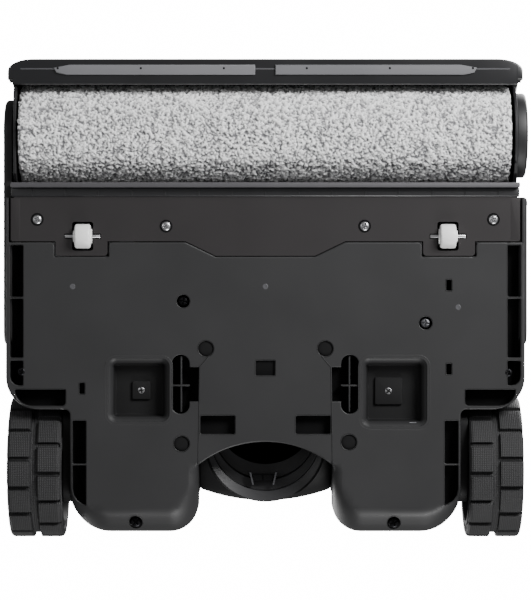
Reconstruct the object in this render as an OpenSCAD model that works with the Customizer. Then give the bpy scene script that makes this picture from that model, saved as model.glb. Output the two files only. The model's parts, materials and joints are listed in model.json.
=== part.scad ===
// Powered floor-washing head: fleece roller in front, squeegee, two driven rear wheels and a
// tilting, swivelling neck. +Z is up, the floor is z = 0, the front faces -Y.

/* [Head] */
// Width over the side covers
head_w = 292; // [262:1:352]
// Depth from the nose of the roller cover to the back of the wheels
head_d = 268; // [258:1:322]
// Height of the top housing
housing_h = 72; // [68:1:88]
// Height of the underside above the floor
ground_gap = 6; // [5:0.5:8]
// Wall of the moulded shells
wall = 2.4; // [1.8:0.2:3]
// Thickness of the base and retaining plates
plate_t = 2.5; // [2:0.1:3.2]
// Width of each side cover
side_w = 5; // [4.6:0.2:7]

/* [Roller] */
// Outer radius of the fleece
brush_r = 28; // [24:0.5:30]
// Radius of the roller core under the fleece
core_r = 20; // [17:0.5:21]
// Radius of the roller's pull-out cap
cap_r = 23.8; // [21:0.2:24.6]
// Depth of the roller cover's front lip
lip_d = 14.5; // [12:0.5:18]

/* [Wheels] */
// Radius of the driven wheels
wheel_r = 39.7; // [34:0.1:42]
// Width of the tyre
tyre_w = 30; // [24:1:31]
// Thickness of the tyre
tyre_t = 6.5; // [4:0.5:8]
// Radius of the wheel axle
axle_r = 4; // [3:0.25:5]
// Radius of the white guide rollers
guide_r = 6.75; // [6.3:0.05:7.5]
// Width of a guide roller
guide_w = 9; // [6:0.5:10]

/* [Neck] */
// Radius of the neck yoke
neck_r = 33.5; // [31:0.5:34]
// Bore radius of the socket that takes the upright body
socket_r = 22; // [18:0.5:23]
// Depth of that socket
socket_depth = 35; // [25:1:40]
// Height of the neck above the floor
neck_h = 168; // [150:1:180]

/* [Fits] */
// Radial clearance of a shaft that turns in a hole
run = 0.05; // [0.02:0.01:0.09]
// Gap between parts that move past each other
gap = 0.4; // [0.3:0.05:0.6]

/* [Hidden] */
$fn = 64;

// Stations from front to back
nose_y = -head_d / 2;
brush_y = nose_y + lip_d + brush_r - 1;
brush_z = brush_r + 0.3;
squeegee_y = brush_y + brush_r - 0.7;
blade_t = 2.8;
plate_y = squeegee_y + 8;
plate_d = 24.7;
parting_y = plate_y + plate_d;
wheel_y = head_d / 2 - wheel_r;
wheel_z = wheel_r;
block_y = wheel_y - wheel_r + 6.2;
lobe_y = head_d / 2 - 4;
tab_d = 8;
guide_y = parting_y - 2.9;
guide_z = guide_r;
pin_r = 1.1;

// Stations across
half_w = head_w / 2;
plate_x = half_w - side_w;
tyre_out_x = half_w - 2.7;
tyre_in_x = tyre_out_x - tyre_w;
lobe_x = tyre_in_x - 4.8;
notch_x = 37.5;
lobe_in_r = 16;
guide_x = 101.4;

// Heights
plate_z = ground_gap;
floor_z = plate_z + plate_t;
seam_z = 24;

// Chamber
liner_r = brush_r + 3;
liner_t = 2;
end_wall = 1.6;
chamber_left = -half_w + 6.2 + end_wall;
chamber_right = half_w - 7.8;
exit_r = brush_r + 1.5;
liner_z0 = 14.2;
mouth_w = 90;
mouth_h = 8;
bar_z = brush_z + liner_r + liner_t + 2.5;
brush_left = chamber_left + 0.8;
brush_right = chamber_right - 1.2;

// Drive train
brush_pulley_r = 15;
motor_pulley_r = 7.5;
belt_t = 1.4;
belt_gap = 0.15;
belt_x0 = -half_w + 2.1;
belt_w = 3.4;
motor_y = plate_y + 21;
motor_z = 46;
brush_motor_r = 17;
spindle_r = 5;
motor_shaft_r = 2.5;

// Wheel drive
gear_m = 1;
wheel_teeth = 30;
pinion_teeth = 12;
gear_gap = 0.2;
gear_reach = gear_m * (wheel_teeth + pinion_teeth) / 2 + gear_gap;
gear_angle = -16;
pinion_y = wheel_y - gear_reach * cos(gear_angle);
pinion_z = wheel_z + gear_reach * sin(gear_angle);
gear_w = 8;
gear_x = lobe_x - 16.5;
bracket_x = lobe_x - 28.5;
bracket_t = 4;
wheel_motor_r = 13;
wheel_motor_l = 36;

// Neck
hinge_y = wheel_y - 10.3;
hinge_z = 42;
barrel_r = 29.8;
barrel_end_r = 23.4;
barrel_hw = notch_x - 0.7;
crown_sag = barrel_r - barrel_end_r;
crown_r = (barrel_hw * barrel_hw + crown_sag * crown_sag) / (2 * crown_sag);
neck_y = hinge_y - 3.8;
yoke_z0 = 28;
yoke_z1 = 96;
spigot_r = 27;
spigot_z0 = 74;
trunnion_r = 9;
channel_y = neck_y - neck_r - 2.5;
notch_arc_r = 60.5;
notch_apex_y = neck_y - 1.4;
duct_r = 19;
duct_wall = 2;
duct_mouth_hw = mouth_w / 2 + duct_wall;
duct_z0 = floor_z + 4;
duct_h = 18;
duct_y1 = channel_y - wall;
hose_r = 16;
hose_z = 36;

// ---------- shared shapes ----------

module mirrored(side) {
    if (side < 0) mirror([1, 0, 0]) children();
    if (side > 0) children();
}

module both() {
    children();
    mirror([1, 0, 0]) children();
}

// A disc lying across X
module x_disc(r, x0, x1, y, z) {
    translate([x0, y, z]) rotate([0, 90, 0]) cylinder(r = r, h = x1 - x0);
}

// A square with its own radius at each corner, low-left first and anticlockwise
module soft_square(x0, y0, x1, y1, radii) {
    corners = [[x0, y0], [x1, y0], [x1, y1], [x0, y1]];
    inward = [[1, 1], [-1, 1], [-1, -1], [1, -1]];
    difference() {
        translate([x0, y0]) square([x1 - x0, y1 - y0]);
        for (k = [0 : 3]) if (radii[k] > 0) translate(corners[k]) scale([inward[k][0], inward[k][1], 1])
            difference() {
                translate([-1, -1]) square(radii[k] + 1);
                translate([radii[k], radii[k]]) circle(r = radii[k]);
            }
    }
}

// Outline of the body seen from below, drawn in by the wall it leaves, with the neck's channel
module plan(inset) {
    difference() {
        union() {
            soft_square(-plate_x + inset, plate_y + inset, plate_x - inset, block_y - inset,
                [3, 3, 18, 18]);
            for (side = [-1, 1]) scale([side, 1, 1])
                soft_square(0, 0, lobe_x - inset, lobe_y - inset, [0, 0, 22, 0]);
        }
        translate([-notch_x - inset, channel_y - inset]) square([2 * (notch_x + inset), head_d]);
        for (side = [-1, 1]) scale([side, 1, 1]) translate([notch_x + inset, lobe_y - inset]) difference() {
            translate([-1, -lobe_in_r]) square([lobe_in_r + 1, lobe_in_r + 1]);
            translate([lobe_in_r, -lobe_in_r]) circle(r = lobe_in_r);
        }
    }
}

// The base plate's tongue under the neck, with a hollow rear edge
module tongue() {
    difference() {
        translate([-notch_x - 1, channel_y - wall - 1]) square([2 * notch_x + 2, head_d / 5]);
        translate([0, notch_apex_y + notch_arc_r]) circle(r = notch_arc_r, $fn = 128);
    }
}

// Clears the wheels from the shells
module wheel_arches() {
    both() x_disc(wheel_r + 2.6, lobe_x + 0.01, half_w + 5, wheel_y, wheel_z);
}

// Rounds the lower rear edge of the lobes
module rear_rounding(inset) {
    r = 20 - inset;
    difference() {
        translate([-half_w, lobe_y - 20, 0]) cube([head_w, 30, seam_z + 2]);
        x_disc(r, -half_w - 1, half_w + 1, lobe_y - 20, plate_z + 20);
        translate([-half_w - 1, lobe_y - 21, plate_z + 20]) cube([head_w + 2, 21 + r, 10]);
    }
}

// Spur gear with straight-flanked teeth
module gear_outline(teeth) {
    pitch_r = gear_m * teeth / 2;
    step = 360 / teeth;
    tooth = 90 / teeth - 0.18 * 57.3 / pitch_r / 2;
    polygon([for (k = [0 : teeth - 1], p = [[-1.35, -1.45], [1, -0.42], [1, 0.42], [-1.35, 1.45]])
        let (r = pitch_r + p[0] * gear_m * (p[0] < 0 ? 0.93 : 0.9), a = k * step + p[1] * tooth)
        [r * cos(a), r * sin(a)]]);
}

// ---------- bottom ----------

well_y0 = parting_y + 65.2;
well_depth = 10;
well_wall = 1.6;
screw_hole_r = 3.6;

// Square screw wells: centre x, outer size
module well(side, x0, w, d) {
    mirrored(side) translate([x0, well_y0, plate_z])
        cube([w, d, well_depth]);
}

module well_box(side, x0, w, d) {
    mirrored(side) translate([x0 - well_wall, well_y0 - well_wall, floor_z - 0.01])
        cube([w + 2 * well_wall, d + 2 * well_wall, well_depth - plate_t + well_wall]);
}

// Slot with one round half and one square half, split by thin cross ribs
module ribbed_slot(side) {
    y_mid = parting_y + 79.3;
    mirrored(side) difference() {
        union() {
            translate([47, y_mid]) square([9.8, 23], center = true);
            for (s = [-1, 1]) translate([47, y_mid + s * 11.5]) circle(r = 4.9);
            translate([36.8, y_mid - 11.3]) square([6, 22.6]);
        }
        translate([46.7, y_mid]) square([0.9, 40], center = true);
        translate([44, y_mid + 0.6]) square([20, 0.9], center = true);
    }
}

dock_slot_x = 26.5;
dock_slot_y = 69.3;
dock_slot_w = 19.2;
dock_slot_d = 10.2;

module deck_openings() {
    for (side = [-1, 1]) ribbed_slot(side);
    for (x = [-dock_slot_x, dock_slot_x])
        translate([x, dock_slot_y]) square([dock_slot_w, dock_slot_d], center = true);
    for (p = [[-101.8, 49.1], [101.9, 38.3], [101.9, -8.2]])
        translate(p) square([2.9, 6], center = true);
}

plug_r = 4.2;
plugs = [[-33, 27], [33.3, 27], [-46.5, 79.8], [46.4, 78.9]];
deck_screws = [[-45.6, 0.7], [89, 12.8]];
well_screws = [[-69.2, 50.4], [68.7, 50.8]];
pocket_screws = [[-135.3, 39.8], [134.9, 40.3]];
lobe_screws = [[-72.2, 123.6], [71.6, 124]];

// Open pockets along the side edges, between the ribs
module side_pockets() {
    both() {
        for (span = [[2, 30.7], [31.8, 64.5], [66.2, 80]])
            translate([plate_x - 9.6, parting_y + span[0]])
                square([9.6 - 2.8, span[1] - span[0]]);
        soft_square(lobe_x + 1.5, parting_y + 82.2, plate_x - 5.6, block_y - 2.2, [0, 0, 12, 2]);
        for (span = [[99.5, 123.4], [124.2, 146.5]])
            translate([lobe_x - 8.9, parting_y + span[0]]) square([8, span[1] - span[0]]);
    }
}

module base_plate() {
    color("#34343a") difference() {
        union() {
            difference() {
                translate([0, 0, plate_z]) linear_extrude(seam_z - plate_z) plan(0);
                difference() {
                    translate([0, 0, floor_z]) linear_extrude(seam_z) plan(wall);
                    rear_rounding(wall);
                }
                translate([-half_w, plate_y - 1, 0]) cube([head_w, plate_d + 1, floor_z + 0.1]);
            }
            translate([0, 0, plate_z]) linear_extrude(plate_t) tongue();
            well_box(-1, 56.2, 29, 30);
            well_box(1, 55.6, 32, 32);
            for (p = plugs) translate([p[0], p[1], floor_z - 0.01]) cylinder(r = plug_r + 2, h = 4);
            for (p = deck_screws) translate([p[0], p[1], floor_z - 0.01]) cylinder(r = 6, h = 6);
            for (side = [-1, 1], x = [55.1, 126.6]) translate([side * x - 4, plate_y + 1, floor_z])
                cube([8, 16.5, 8]);
            for (x = [62, 112], y = [-22, 8]) translate([x, y, floor_z - 0.01])
                cylinder(r = 3, h = 16);
        }
        rear_rounding(0);
        wheel_arches();
        duct_hole(duct_r);
        // Lets the suction duct through the front wall
        translate([-duct_mouth_hw, plate_y - 1, duct_z0]) cube([2 * duct_mouth_hw, wall + 2, duct_h]);
        well(-1, 56.2, 29, 30);
        well(1, 55.6, 32, 32);
        translate([0, 0, plate_z - 1]) linear_extrude(plate_t + 2) deck_openings();
        // Centre recess
        translate([-5.3, parting_y + 66.1, plate_z - 1]) cube([10.6, 8.3, 2.2]);
        // Edge pockets stop under the top of the plate
        translate([0, 0, plate_z - 1]) linear_extrude(plate_t + 0.2) side_pockets();
        // The retaining plate's tabs
        for (x = [-102, 102]) translate([x - 14.6, parting_y - 1, plate_z - 1])
            cube([29.2, tab_d + 1.1, plate_t + 1.01]);
        translate([0, parting_y, plate_z - 1]) linear_extrude(plate_t + 1.01) retainer_bay(0.1);
        for (p = plugs) translate([p[0], p[1], plate_z - 1]) cylinder(r = plug_r, h = 4);
        for (p = deck_screws) translate([p[0], p[1], plate_z - 1]) cylinder(r = screw_hole_r, h = 4);
        for (p = deck_screws) translate([p[0], p[1], plate_z]) cylinder(r = 1.5, h = 9.5);
        for (p = concat(well_screws, pocket_screws, lobe_screws))
            translate([p[0], p[1], plate_z - 1]) cylinder(r = 1.5, h = 30);
        for (p = pocket_screws) translate([p[0], p[1], plate_z - 1]) cylinder(r = 2.5, h = 2.2);
        for (p = lobe_screws) translate([p[0], p[1], plate_z - 1]) cylinder(r = screw_hole_r, h = 8);
        for (side = [-1, 1], p = plate_screw_spots()) translate([side * p[0], p[1], floor_z - 1])
            cylinder(r = 1.3, h = 7);
    }
}

function plate_screw_spots() = [[55.1, parting_y - 8.5], [126.6, parting_y - 12.2]];

// Middle bay where the retaining plate reaches back
module retainer_bay(slack) {
    polygon([[-44.2 - slack, -1], [44.2 + slack, -1], [44.2 + slack, 0], [27.6 + slack, tab_d + slack],
        [-27.6 - slack, tab_d + slack], [-44.2 - slack, 0]]);
}

module roller_plate() {
    color("#38353a") difference() {
        translate([0, 0, plate_z]) linear_extrude(plate_t) retainer_outline();
        // Grooves that hold the guide rollers' pins
        for (x = [-guide_x, guide_x]) translate([x - 10.2, guide_y - 1.4, plate_z - 1])
            cube([20.4, 2.8, guide_z + pin_r - plate_z + 1]);
    }
}

module retainer_outline() {
    difference() {
        union() {
            soft_square(-plate_x + 0.4, plate_y, plate_x - 0.4, parting_y - 0.1, [2, 2, 0, 0]);
            for (x = [-102, 102]) soft_square(x - 14.4, parting_y - 1, x + 14.4, parting_y + tab_d,
                [0, 0, 2, 2]);
            translate([0, parting_y]) retainer_bay(0);
        }
        for (x = [-guide_x, guide_x])
            soft_square(x - 5.9, guide_y - 8, x + 5.9, guide_y + 8, [1.5, 1.5, 1.5, 1.5]);
        for (side = [-1, 1], p = plate_screw_spots()) translate([side * p[0], p[1]]) circle(r = 1.5);
    }
}

// Pan-head screw, head down
module screw(head_r, head_t, shank_r, shank_l) {
    difference() {
        union() {
            cylinder(r = head_r, h = head_t);
            translate([0, 0, head_t]) cylinder(r = shank_r, h = shank_l);
        }
        for (a = [0, 90]) rotate([0, 0, a]) translate([-head_r * 0.6, -0.35, -0.1])
            cube([head_r * 1.2, 0.7, 0.9]);
    }
}

module plate_screws() {
    color("silver") for (side = [-1, 1], p = plate_screw_spots())
        translate([side * p[0], p[1], plate_z - 1.2]) screw(2.5, 1.2, 1.25, plate_t + 4);
}

module base_screws() {
    color("#1a1a1a") {
        for (p = deck_screws) translate([p[0], p[1], plate_z + 1.4]) screw(3, 1.6, 1.4, 6);
        for (p = well_screws) translate([p[0], p[1], plate_z + well_depth - 1.6])
            screw(2.6, 1.6, 1.4, 6);
        for (p = pocket_screws) translate([p[0], p[1], plate_z - 0.3]) screw(2.4, 1.5, 1.4, 0.9);
        for (p = lobe_screws) translate([p[0], p[1], plate_z + 5.4]) screw(3, 1.6, 1.4, 6);
    }
}

module screw_plugs() {
    color("#161616") for (p = plugs) translate([p[0], p[1], plate_z + 0.5])
        cylinder(r = plug_r - 0.02, h = 2.5);
}

module guide_pins() {
    color("silver") for (x = [-guide_x, guide_x]) x_disc(pin_r, x - 9.8, x + 9.8, guide_y, guide_z);
}

module guide_roller(x) {
    color("white") difference() {
        union() {
            x_disc(guide_r, x - guide_w / 2, x + guide_w / 2, guide_y, guide_z);
            x_disc(3.4, x - guide_w / 2 - 0.8, x + guide_w / 2 + 0.8, guide_y, guide_z);
        }
        x_disc(pin_r + run, x - 8, x + 8, guide_y, guide_z);
    }
}

module left_guide_roller() guide_roller(-guide_x);
module right_guide_roller() guide_roller(guide_x);

module squeegee_holder() {
    color("#2c2c2e") {
        translate([-plate_x, squeegee_y + blade_t, plate_z - 1])
            cube([2 * plate_x, plate_y - squeegee_y - blade_t, 3.2]);
        translate([-plate_x + 3, squeegee_y + blade_t, plate_z + 2.2])
            cube([2 * plate_x - 6, 2.4, liner_z0 - plate_z - 2.2]);
    }
}

module squeegee_blade() {
    color("#515053") translate([-plate_x, squeegee_y, 0.6])
        cube([2 * plate_x, blade_t, liner_z0 - 0.8]);
}

// ---------- roller chamber ----------

module chamber_end(r) {
    translate([brush_y, brush_z]) circle(r = r);
    translate([brush_y, liner_z0]) square([plate_y - brush_y, brush_z + r - liner_z0]);
}

// Thin shell behind and over the rear half of the roller
module liner_shell() {
    difference() {
        union() {
            difference() {
                translate([brush_y, brush_z]) circle(r = liner_r + liner_t);
                translate([brush_y - 60, -40]) square([60, 140]);
                translate([brush_y - 1, -40]) square([80, 40 + liner_z0]);
            }
            translate([brush_y, brush_z + liner_r]) square([plate_y - brush_y, liner_t]);
            translate([plate_y - liner_t, liner_z0]) square([liner_t, brush_z + liner_r - liner_z0 + 1]);
            translate([plate_y - 12, liner_z0]) square([12, liner_t]);
        }
        translate([brush_y, brush_z]) circle(r = liner_r);
    }
}

// Turns a side outline drawn in Y and Z into a wall across X
module across(x0, x1) {
    translate([x0, 0, 0]) rotate([90, 0, 90]) linear_extrude(x1 - x0) children();
}

module chamber_liner() {
    color("#202022") difference() {
        union() {
            across(chamber_left, chamber_right) liner_shell();
            across(chamber_left - end_wall, chamber_left) chamber_end(liner_r + liner_t);
            across(chamber_right, chamber_right + end_wall) chamber_end(liner_r + liner_t);
        }
        translate([-mouth_w / 2, plate_y - 12, liner_z0 + liner_t]) cube([mouth_w, 20, mouth_h]);
        x_disc(exit_r, chamber_right - 0.1, chamber_right + end_wall + 0.1, brush_y, brush_z);
        x_disc(11, chamber_left - end_wall - 0.1, chamber_left + 0.1, brush_y, brush_z);
        // Keeps the end walls behind the front lip and above the floor
        translate([-half_w, nose_y - 1, -1]) cube([head_w, 14, 80]);
        translate([-half_w, nose_y - 1, -10]) cube([head_w, 80, 14]);
        translate([0, nose_y, 0]) cube([half_w, brush_y - 14 - nose_y, brush_z - 6]);
        // Leaves room for the squeegee
        translate([-half_w, squeegee_y - 0.2, -1]) cube([head_w, 20, liner_z0 + 1]);
    }
}

module spray_bar() {
    y = brush_y + 6;
    z = bar_z;
    color("#2a2a2c") difference() {
        translate([-110, y - 4, z - 2.5]) cube([220, 8, 5]);
        for (k = [-4 : 4]) translate([k * 24, y, z - 4]) cylinder(r = 0.6, h = 5);
        translate([20, y, z]) rotate([-90, 0, 0]) cylinder(r = 2, h = 5);
    }
}

module water_tube() {
    y0 = brush_y + 10;
    z = bar_z;
    color("#9fb4bf") translate([20, y0, z]) rotate([-90, 0, 0]) difference() {
        cylinder(r = 2.5, h = plate_y - y0 + 30);
        translate([0, 0, -1]) cylinder(r = 1.6, h = plate_y - y0 + 40);
    }
}

// Through the front wall of the neck's channel
module duct_hole(r) {
    translate([0, channel_y - wall - 1, hose_z]) rotate([-90, 0, 0]) cylinder(r = r, h = wall + 2);
}

module duct_solid(inset) {
    front = plate_y - (inset > 0 ? 1 : 0);
    back = duct_y1 - 8 - inset;
    translate([0, 0, duct_z0 + inset]) linear_extrude(duct_h - 2 * inset)
        polygon([[-duct_mouth_hw + inset, front], [duct_mouth_hw - inset, front],
            [duct_r - inset, 12], [duct_r - inset, back], [-duct_r + inset, back], [-duct_r + inset, 12]]);
    translate([0, 14 + inset, hose_z]) rotate([-90, 0, 0])
        cylinder(r = duct_r - inset, h = duct_y1 - 14 - inset);
}

module suction_duct() {
    color("#1d1d1f") difference() {
        duct_solid(0);
        duct_solid(duct_wall);
        translate([0, duct_y1 - 12, hose_z]) rotate([-90, 0, 0]) cylinder(r = hose_r, h = 20);
    }
}

module duct_hose() {
    color("#141414") translate([0, duct_y1 - 8, hose_z]) rotate([-90, 0, 0]) difference() {
        union() {
            cylinder(r = hose_r - 1, h = hinge_y - 33 - duct_y1 + 8);
            for (k = [0 : 3]) translate([0, 0, 1 + 3.6 * k]) cylinder(r = hose_r, h = 1.8);
        }
        translate([0, 0, -1]) cylinder(r = hose_r - 2.6, h = 60);
    }
}

// ---------- housings ----------

module top_profile(inset) {
    top = housing_h - inset;
    polygon([[plate_y - 1, seam_z - 20], [plate_y - 1, top], [parting_y + 62, top], [wheel_y - 14, top - 4],
        [wheel_y + 14, top - 11], [lobe_y - 7 - inset, top - 20], [lobe_y - inset, top - 33],
        [lobe_y + 5, top - 46], [lobe_y + 5, seam_z - 20]]);
}

module top_solid(inset) {
    intersection() {
        translate([0, 0, seam_z - (inset > 0 ? 1 : 0)]) linear_extrude(80) plan(inset);
        across(-half_w, half_w) top_profile(inset);
    }
}

module top_housing() {
    color("#2b2b2e") difference() {
        top_solid(0);
        top_solid(wall);
        wheel_arches();
        both() x_disc(trunnion_r + 2, notch_x - 1, notch_x + wall + 1, hinge_y, hinge_z);
        both() x_disc(axle_r + 3, lobe_x - 5, lobe_x + 1, wheel_y, wheel_z);
        duct_hole(duct_r);
        // Belt runs in the left wall, and the motor shaft passes it
        across(-plate_x - 1, -plate_x + 0.9) belt_outline(belt_gap + belt_t + 0.6);
        x_disc(4, -plate_x - 1, -plate_x + 6, motor_y, motor_z);
        translate([20, plate_y - 1, bar_z]) rotate([-90, 0, 0]) cylinder(r = 3, h = 6);
        translate([-duct_mouth_hw, plate_y - 1, duct_z0]) cube([2 * duct_mouth_hw, wall + 2, duct_h]);
    }
}

side_top = 58;
side_end_y = parting_y + 57.5;

module belt_cover_outline(inset) {
    translate([brush_y, brush_z]) circle(r = 20 - inset);
    soft_square(brush_y, plate_z + 3 + inset, side_end_y - inset, side_top - inset, [0, 8, 8, 16]);
}

module belt_cover() {
    color("#1e1e20") difference() {
        across(-half_w, -half_w + side_w) belt_cover_outline(0);
        across(-half_w + 1.4, -half_w + side_w + 1) belt_cover_outline(1.4);
    }
}

module side_panel() {
    color("#2b2b2e") difference() {
        across(plate_x, half_w) difference() {
            soft_square(plate_y, plate_z + 3, side_end_y, side_top, [2, 8, 8, 8]);
            translate([brush_y, brush_z]) circle(r = exit_r + 1);
        }
        across(plate_x - 1, half_w - 1.8) difference() {
            soft_square(plate_y + 1.8, plate_z + 4.8, side_end_y - 1.8, side_top - 1.8, [1, 6, 6, 6]);
            translate([brush_y, brush_z]) circle(r = exit_r + 3);
        }
    }
}

// ---------- roller cover ----------

cover_h = housing_h - 2;
cover_round = 46;
cover_in_x = chamber_right + end_wall + 0.5;
cover_out_x = half_w - 3;

module cover_outline(inset) {
    difference() {
        translate([nose_y + inset, plate_z + 0.6]) square([plate_y - nose_y - gap - inset, cover_h - plate_z - 0.6 - inset]);
        difference() {
            translate([nose_y - 1, cover_h - cover_round]) square(cover_round + 1);
            translate([nose_y + cover_round, cover_h - cover_round]) circle(r = cover_round - inset);
        }
    }
}

latch_x = 96;
latch_y = plate_y - 12;

module cover_latch_spots() {
    for (side = [-1, 1]) translate([side * latch_x, latch_y]) children();
}

module roller_cover() {
    color("#232325") difference() {
        union() {
            across(-cover_out_x, cover_out_x) difference() {
                cover_outline(0);
                cover_outline(wall);
            }
            // Front lip
            translate([-cover_in_x, nose_y, plate_z + 0.6]) cube([2 * cover_in_x, lip_d, 2]);
            both() across(cover_in_x, cover_out_x) cover_outline(0);
            cover_latch_spots() translate([-14, -6.5, cover_h - 7.3]) cube([28, 13, 7]);
        }
        // Clears the roller as the cover lifts, and leaves the chamber open at the back
        both() x_disc(exit_r + 1.2, cover_in_x - 1, cover_out_x + 1, brush_y, brush_z);
        translate([-half_w, brush_y, -1]) cube([head_w, 60, side_top + 1 + 0.6]);
        translate([-half_w, brush_y - 30, -1]) cube([head_w, 40, 18]);
        cover_latch_spots() translate([-12, -4.5, cover_h - 5.5]) cube([24, 9, 8]);
        translate([-half_w, plate_y - gap - 4, -1]) cube([head_w, 3, 40]);
    }
}

module cover_lip() {
    color("#8a8a8c") both() translate([5.6, nose_y + 3.4, plate_z - 0.6]) cube([110, 5.6, 1.2]);
}

module latch_button(side) {
    color("#4b4b4e") translate([side * latch_x, latch_y, cover_h - 3.2]) translate([-11.6, -4.1, 0])
        cube([23.2, 8.2, 4.2]);
}

module left_latch_button() latch_button(-1);
module right_latch_button() latch_button(1);

// ---------- roller and its drive ----------

socket_l = 16;

module roller_core() {
    color("#5c6570") difference() {
        x_disc(core_r, brush_left, brush_right, brush_y, brush_z);
        x_disc(core_r - 2, brush_left - 1, brush_right + 1, brush_y, brush_z);
    }
}

module roller_sleeve() {
    color("#b9bac0") difference() {
        x_disc(brush_r, brush_left, brush_right, brush_y, brush_z);
        x_disc(core_r, brush_left - 1, brush_right + 1, brush_y, brush_z);
    }
}

module hex_outline(r) {
    polygon([for (k = [0 : 5]) [r * cos(60 * k), r * sin(60 * k)]]);
}

module x_hex(r, x0, x1) {
    translate([x0, brush_y, brush_z]) rotate([0, 90, 0]) linear_extrude(x1 - x0) hex_outline(r);
}

module drive_socket() {
    color("#3a3a3c") difference() {
        x_disc(core_r - 2, brush_left, brush_left + socket_l, brush_y, brush_z);
        x_hex(8 + 0.3, brush_left - 1, brush_left + socket_l - 3);
    }
}

module idler_plug() {
    color("#3a3a3c") union() {
        x_disc(core_r - 2, brush_right - 14, brush_right, brush_y, brush_z);
        x_disc(4, brush_right - 1, half_w - 3.9, brush_y, brush_z);
    }
}

module roller_cap() {
    inner = chamber_right + 0.2;
    color("#3a3a3e") difference() {
        union() {
            x_disc(brush_r, inner, inner + 1.6, brush_y, brush_z);
            x_disc(cap_r, inner, half_w, brush_y, brush_z);
        }
        x_disc(8, inner - 1, half_w - 3.4, brush_y, brush_z);
        difference() {
            x_disc(cap_r - 4, half_w - 1.6, half_w + 1, brush_y, brush_z);
            translate([half_w - 3, brush_y - 30, brush_z - 4]) cube([6, 60, 8]);
        }
    }
}

module cap_bearing() {
    inner = chamber_right + 0.2;
    color("silver") difference() {
        x_disc(8, inner, half_w - 3.4, brush_y, brush_z);
        x_disc(4 + run, inner - 1, half_w, brush_y, brush_z);
    }
}

module spindle_bearing() {
    color("silver") difference() {
        x_disc(11, chamber_left - end_wall, chamber_left, brush_y, brush_z);
        x_disc(spindle_r + run, chamber_left - end_wall - 1, chamber_left + 1, brush_y, brush_z);
    }
}

module drive_spindle() {
    color("#8c8c90") {
        x_disc(spindle_r, belt_x0 + 0.2, brush_left + 0.1, brush_y, brush_z);
        x_hex(8, brush_left + 0.1, brush_left + socket_l - 4);
    }
}

module spindle_pulley() {
    color("#6b6b70") difference() {
        x_disc(brush_pulley_r, belt_x0 + 0.2, belt_x0 + 0.2 + belt_w, brush_y, brush_z);
        x_disc(spindle_r, belt_x0 - 1, belt_x0 + belt_w + 1, brush_y, brush_z);
    }
}

module motor_pulley() {
    color("#6b6b70") {
        x_disc(motor_pulley_r, belt_x0 + 0.2, belt_x0 + 0.2 + belt_w, motor_y, motor_z);
        x_disc(motor_shaft_r, belt_x0 + 0.2 + belt_w, -plate_x + 24, motor_y, motor_z);
    }
}

// Outline round both pulleys, grown by a distance
module belt_outline(grow) {
    span_y = motor_y - brush_y;
    span_z = motor_z - brush_z;
    span = sqrt(span_y * span_y + span_z * span_z);
    r1 = brush_pulley_r + grow;
    r2 = motor_pulley_r + grow;
    tangent = acos((r1 - r2) / span);
    steps = 24;
    translate([brush_y, brush_z]) rotate(atan2(span_z, span_y)) polygon(concat(
        [for (k = [0 : steps]) let (a = tangent + (360 - 2 * tangent) * k / steps) r1 * [cos(a), sin(a)]],
        [for (k = [0 : steps]) let (a = -tangent + 2 * tangent * k / steps)
            [span + r2 * cos(a), r2 * sin(a)]]));
}

module drive_belt() {
    color("#111111") across(belt_x0 + 0.4, belt_x0 + belt_w) difference() {
        belt_outline(belt_gap + belt_t);
        belt_outline(belt_gap);
    }
}

module brush_motor() {
    color("#77777c") difference() {
        union() {
            x_disc(brush_motor_r, -plate_x + 6, -plate_x + 76, motor_y, motor_z);
            x_disc(7, -plate_x + wall, -plate_x + 6, motor_y, motor_z);
            translate([-plate_x + 24, motor_y - 12, floor_z]) cube([8, 24, motor_z - floor_z]);
            translate([-plate_x + 60, motor_y - 12, floor_z]) cube([8, 24, motor_z - floor_z]);
        }
        x_disc(motor_shaft_r + run, -plate_x - 5, -plate_x + 26, motor_y, motor_z);
    }
}

module control_board() {
    color("#27603a") {
        translate([57, -27, floor_z + 16]) cube([60, 40, 1.6]);
        translate([66, -16, floor_z + 17.6]) cube([12, 12, 2]);
        translate([90, -20, floor_z + 17.6]) cube([18, 7, 6]);
        for (k = [0 : 3]) translate([64 + 9 * k, 2, floor_z + 17.6]) cylinder(r = 2.5, h = 6);
    }
}

// ---------- wheels ----------

module wheel_motor(side) {
    x1 = bracket_x;
    color("#77777c") mirrored(side) difference() {
        x_disc(wheel_motor_r, x1 - wheel_motor_l, x1, pinion_y, pinion_z);
        x_disc(1.5 + run, x1 - 8, x1 + 1, pinion_y, pinion_z);
    }
}

module motor_bracket(side) {
    color("#55585c") mirrored(side) difference() {
        union() {
            x_disc(wheel_motor_r + 1, bracket_x, bracket_x + bracket_t, pinion_y, pinion_z);
            x_disc(axle_r + 4, bracket_x, bracket_x + bracket_t, wheel_y, wheel_z);
            translate([bracket_x, pinion_y, wheel_z - 14]) cube([bracket_t, wheel_y - pinion_y, 18]);
            translate([bracket_x, pinion_y - 6, floor_z]) cube([bracket_t, 24, 14]);
        }
        x_disc(1.5 + run + 0.4, bracket_x - 1, bracket_x + bracket_t + 1, pinion_y, pinion_z);
        x_disc(axle_r + run, bracket_x - 1, bracket_x + bracket_t + 1, wheel_y, wheel_z);
    }
}

module axle_bush(side) {
    color("#d8d4c8") mirrored(side) difference() {
        union() {
            x_disc(axle_r + 3, lobe_x - wall, lobe_x, wheel_y, wheel_z);
            x_disc(axle_r + 5, lobe_x - wall - 2, lobe_x - wall, wheel_y, wheel_z);
        }
        x_disc(axle_r + run, lobe_x - wall - 3, lobe_x + 1, wheel_y, wheel_z);
    }
}

module axle(side) {
    color("silver") mirrored(side)
        x_disc(axle_r, bracket_x - 3, tyre_out_x - 6, wheel_y, wheel_z);
}

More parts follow.
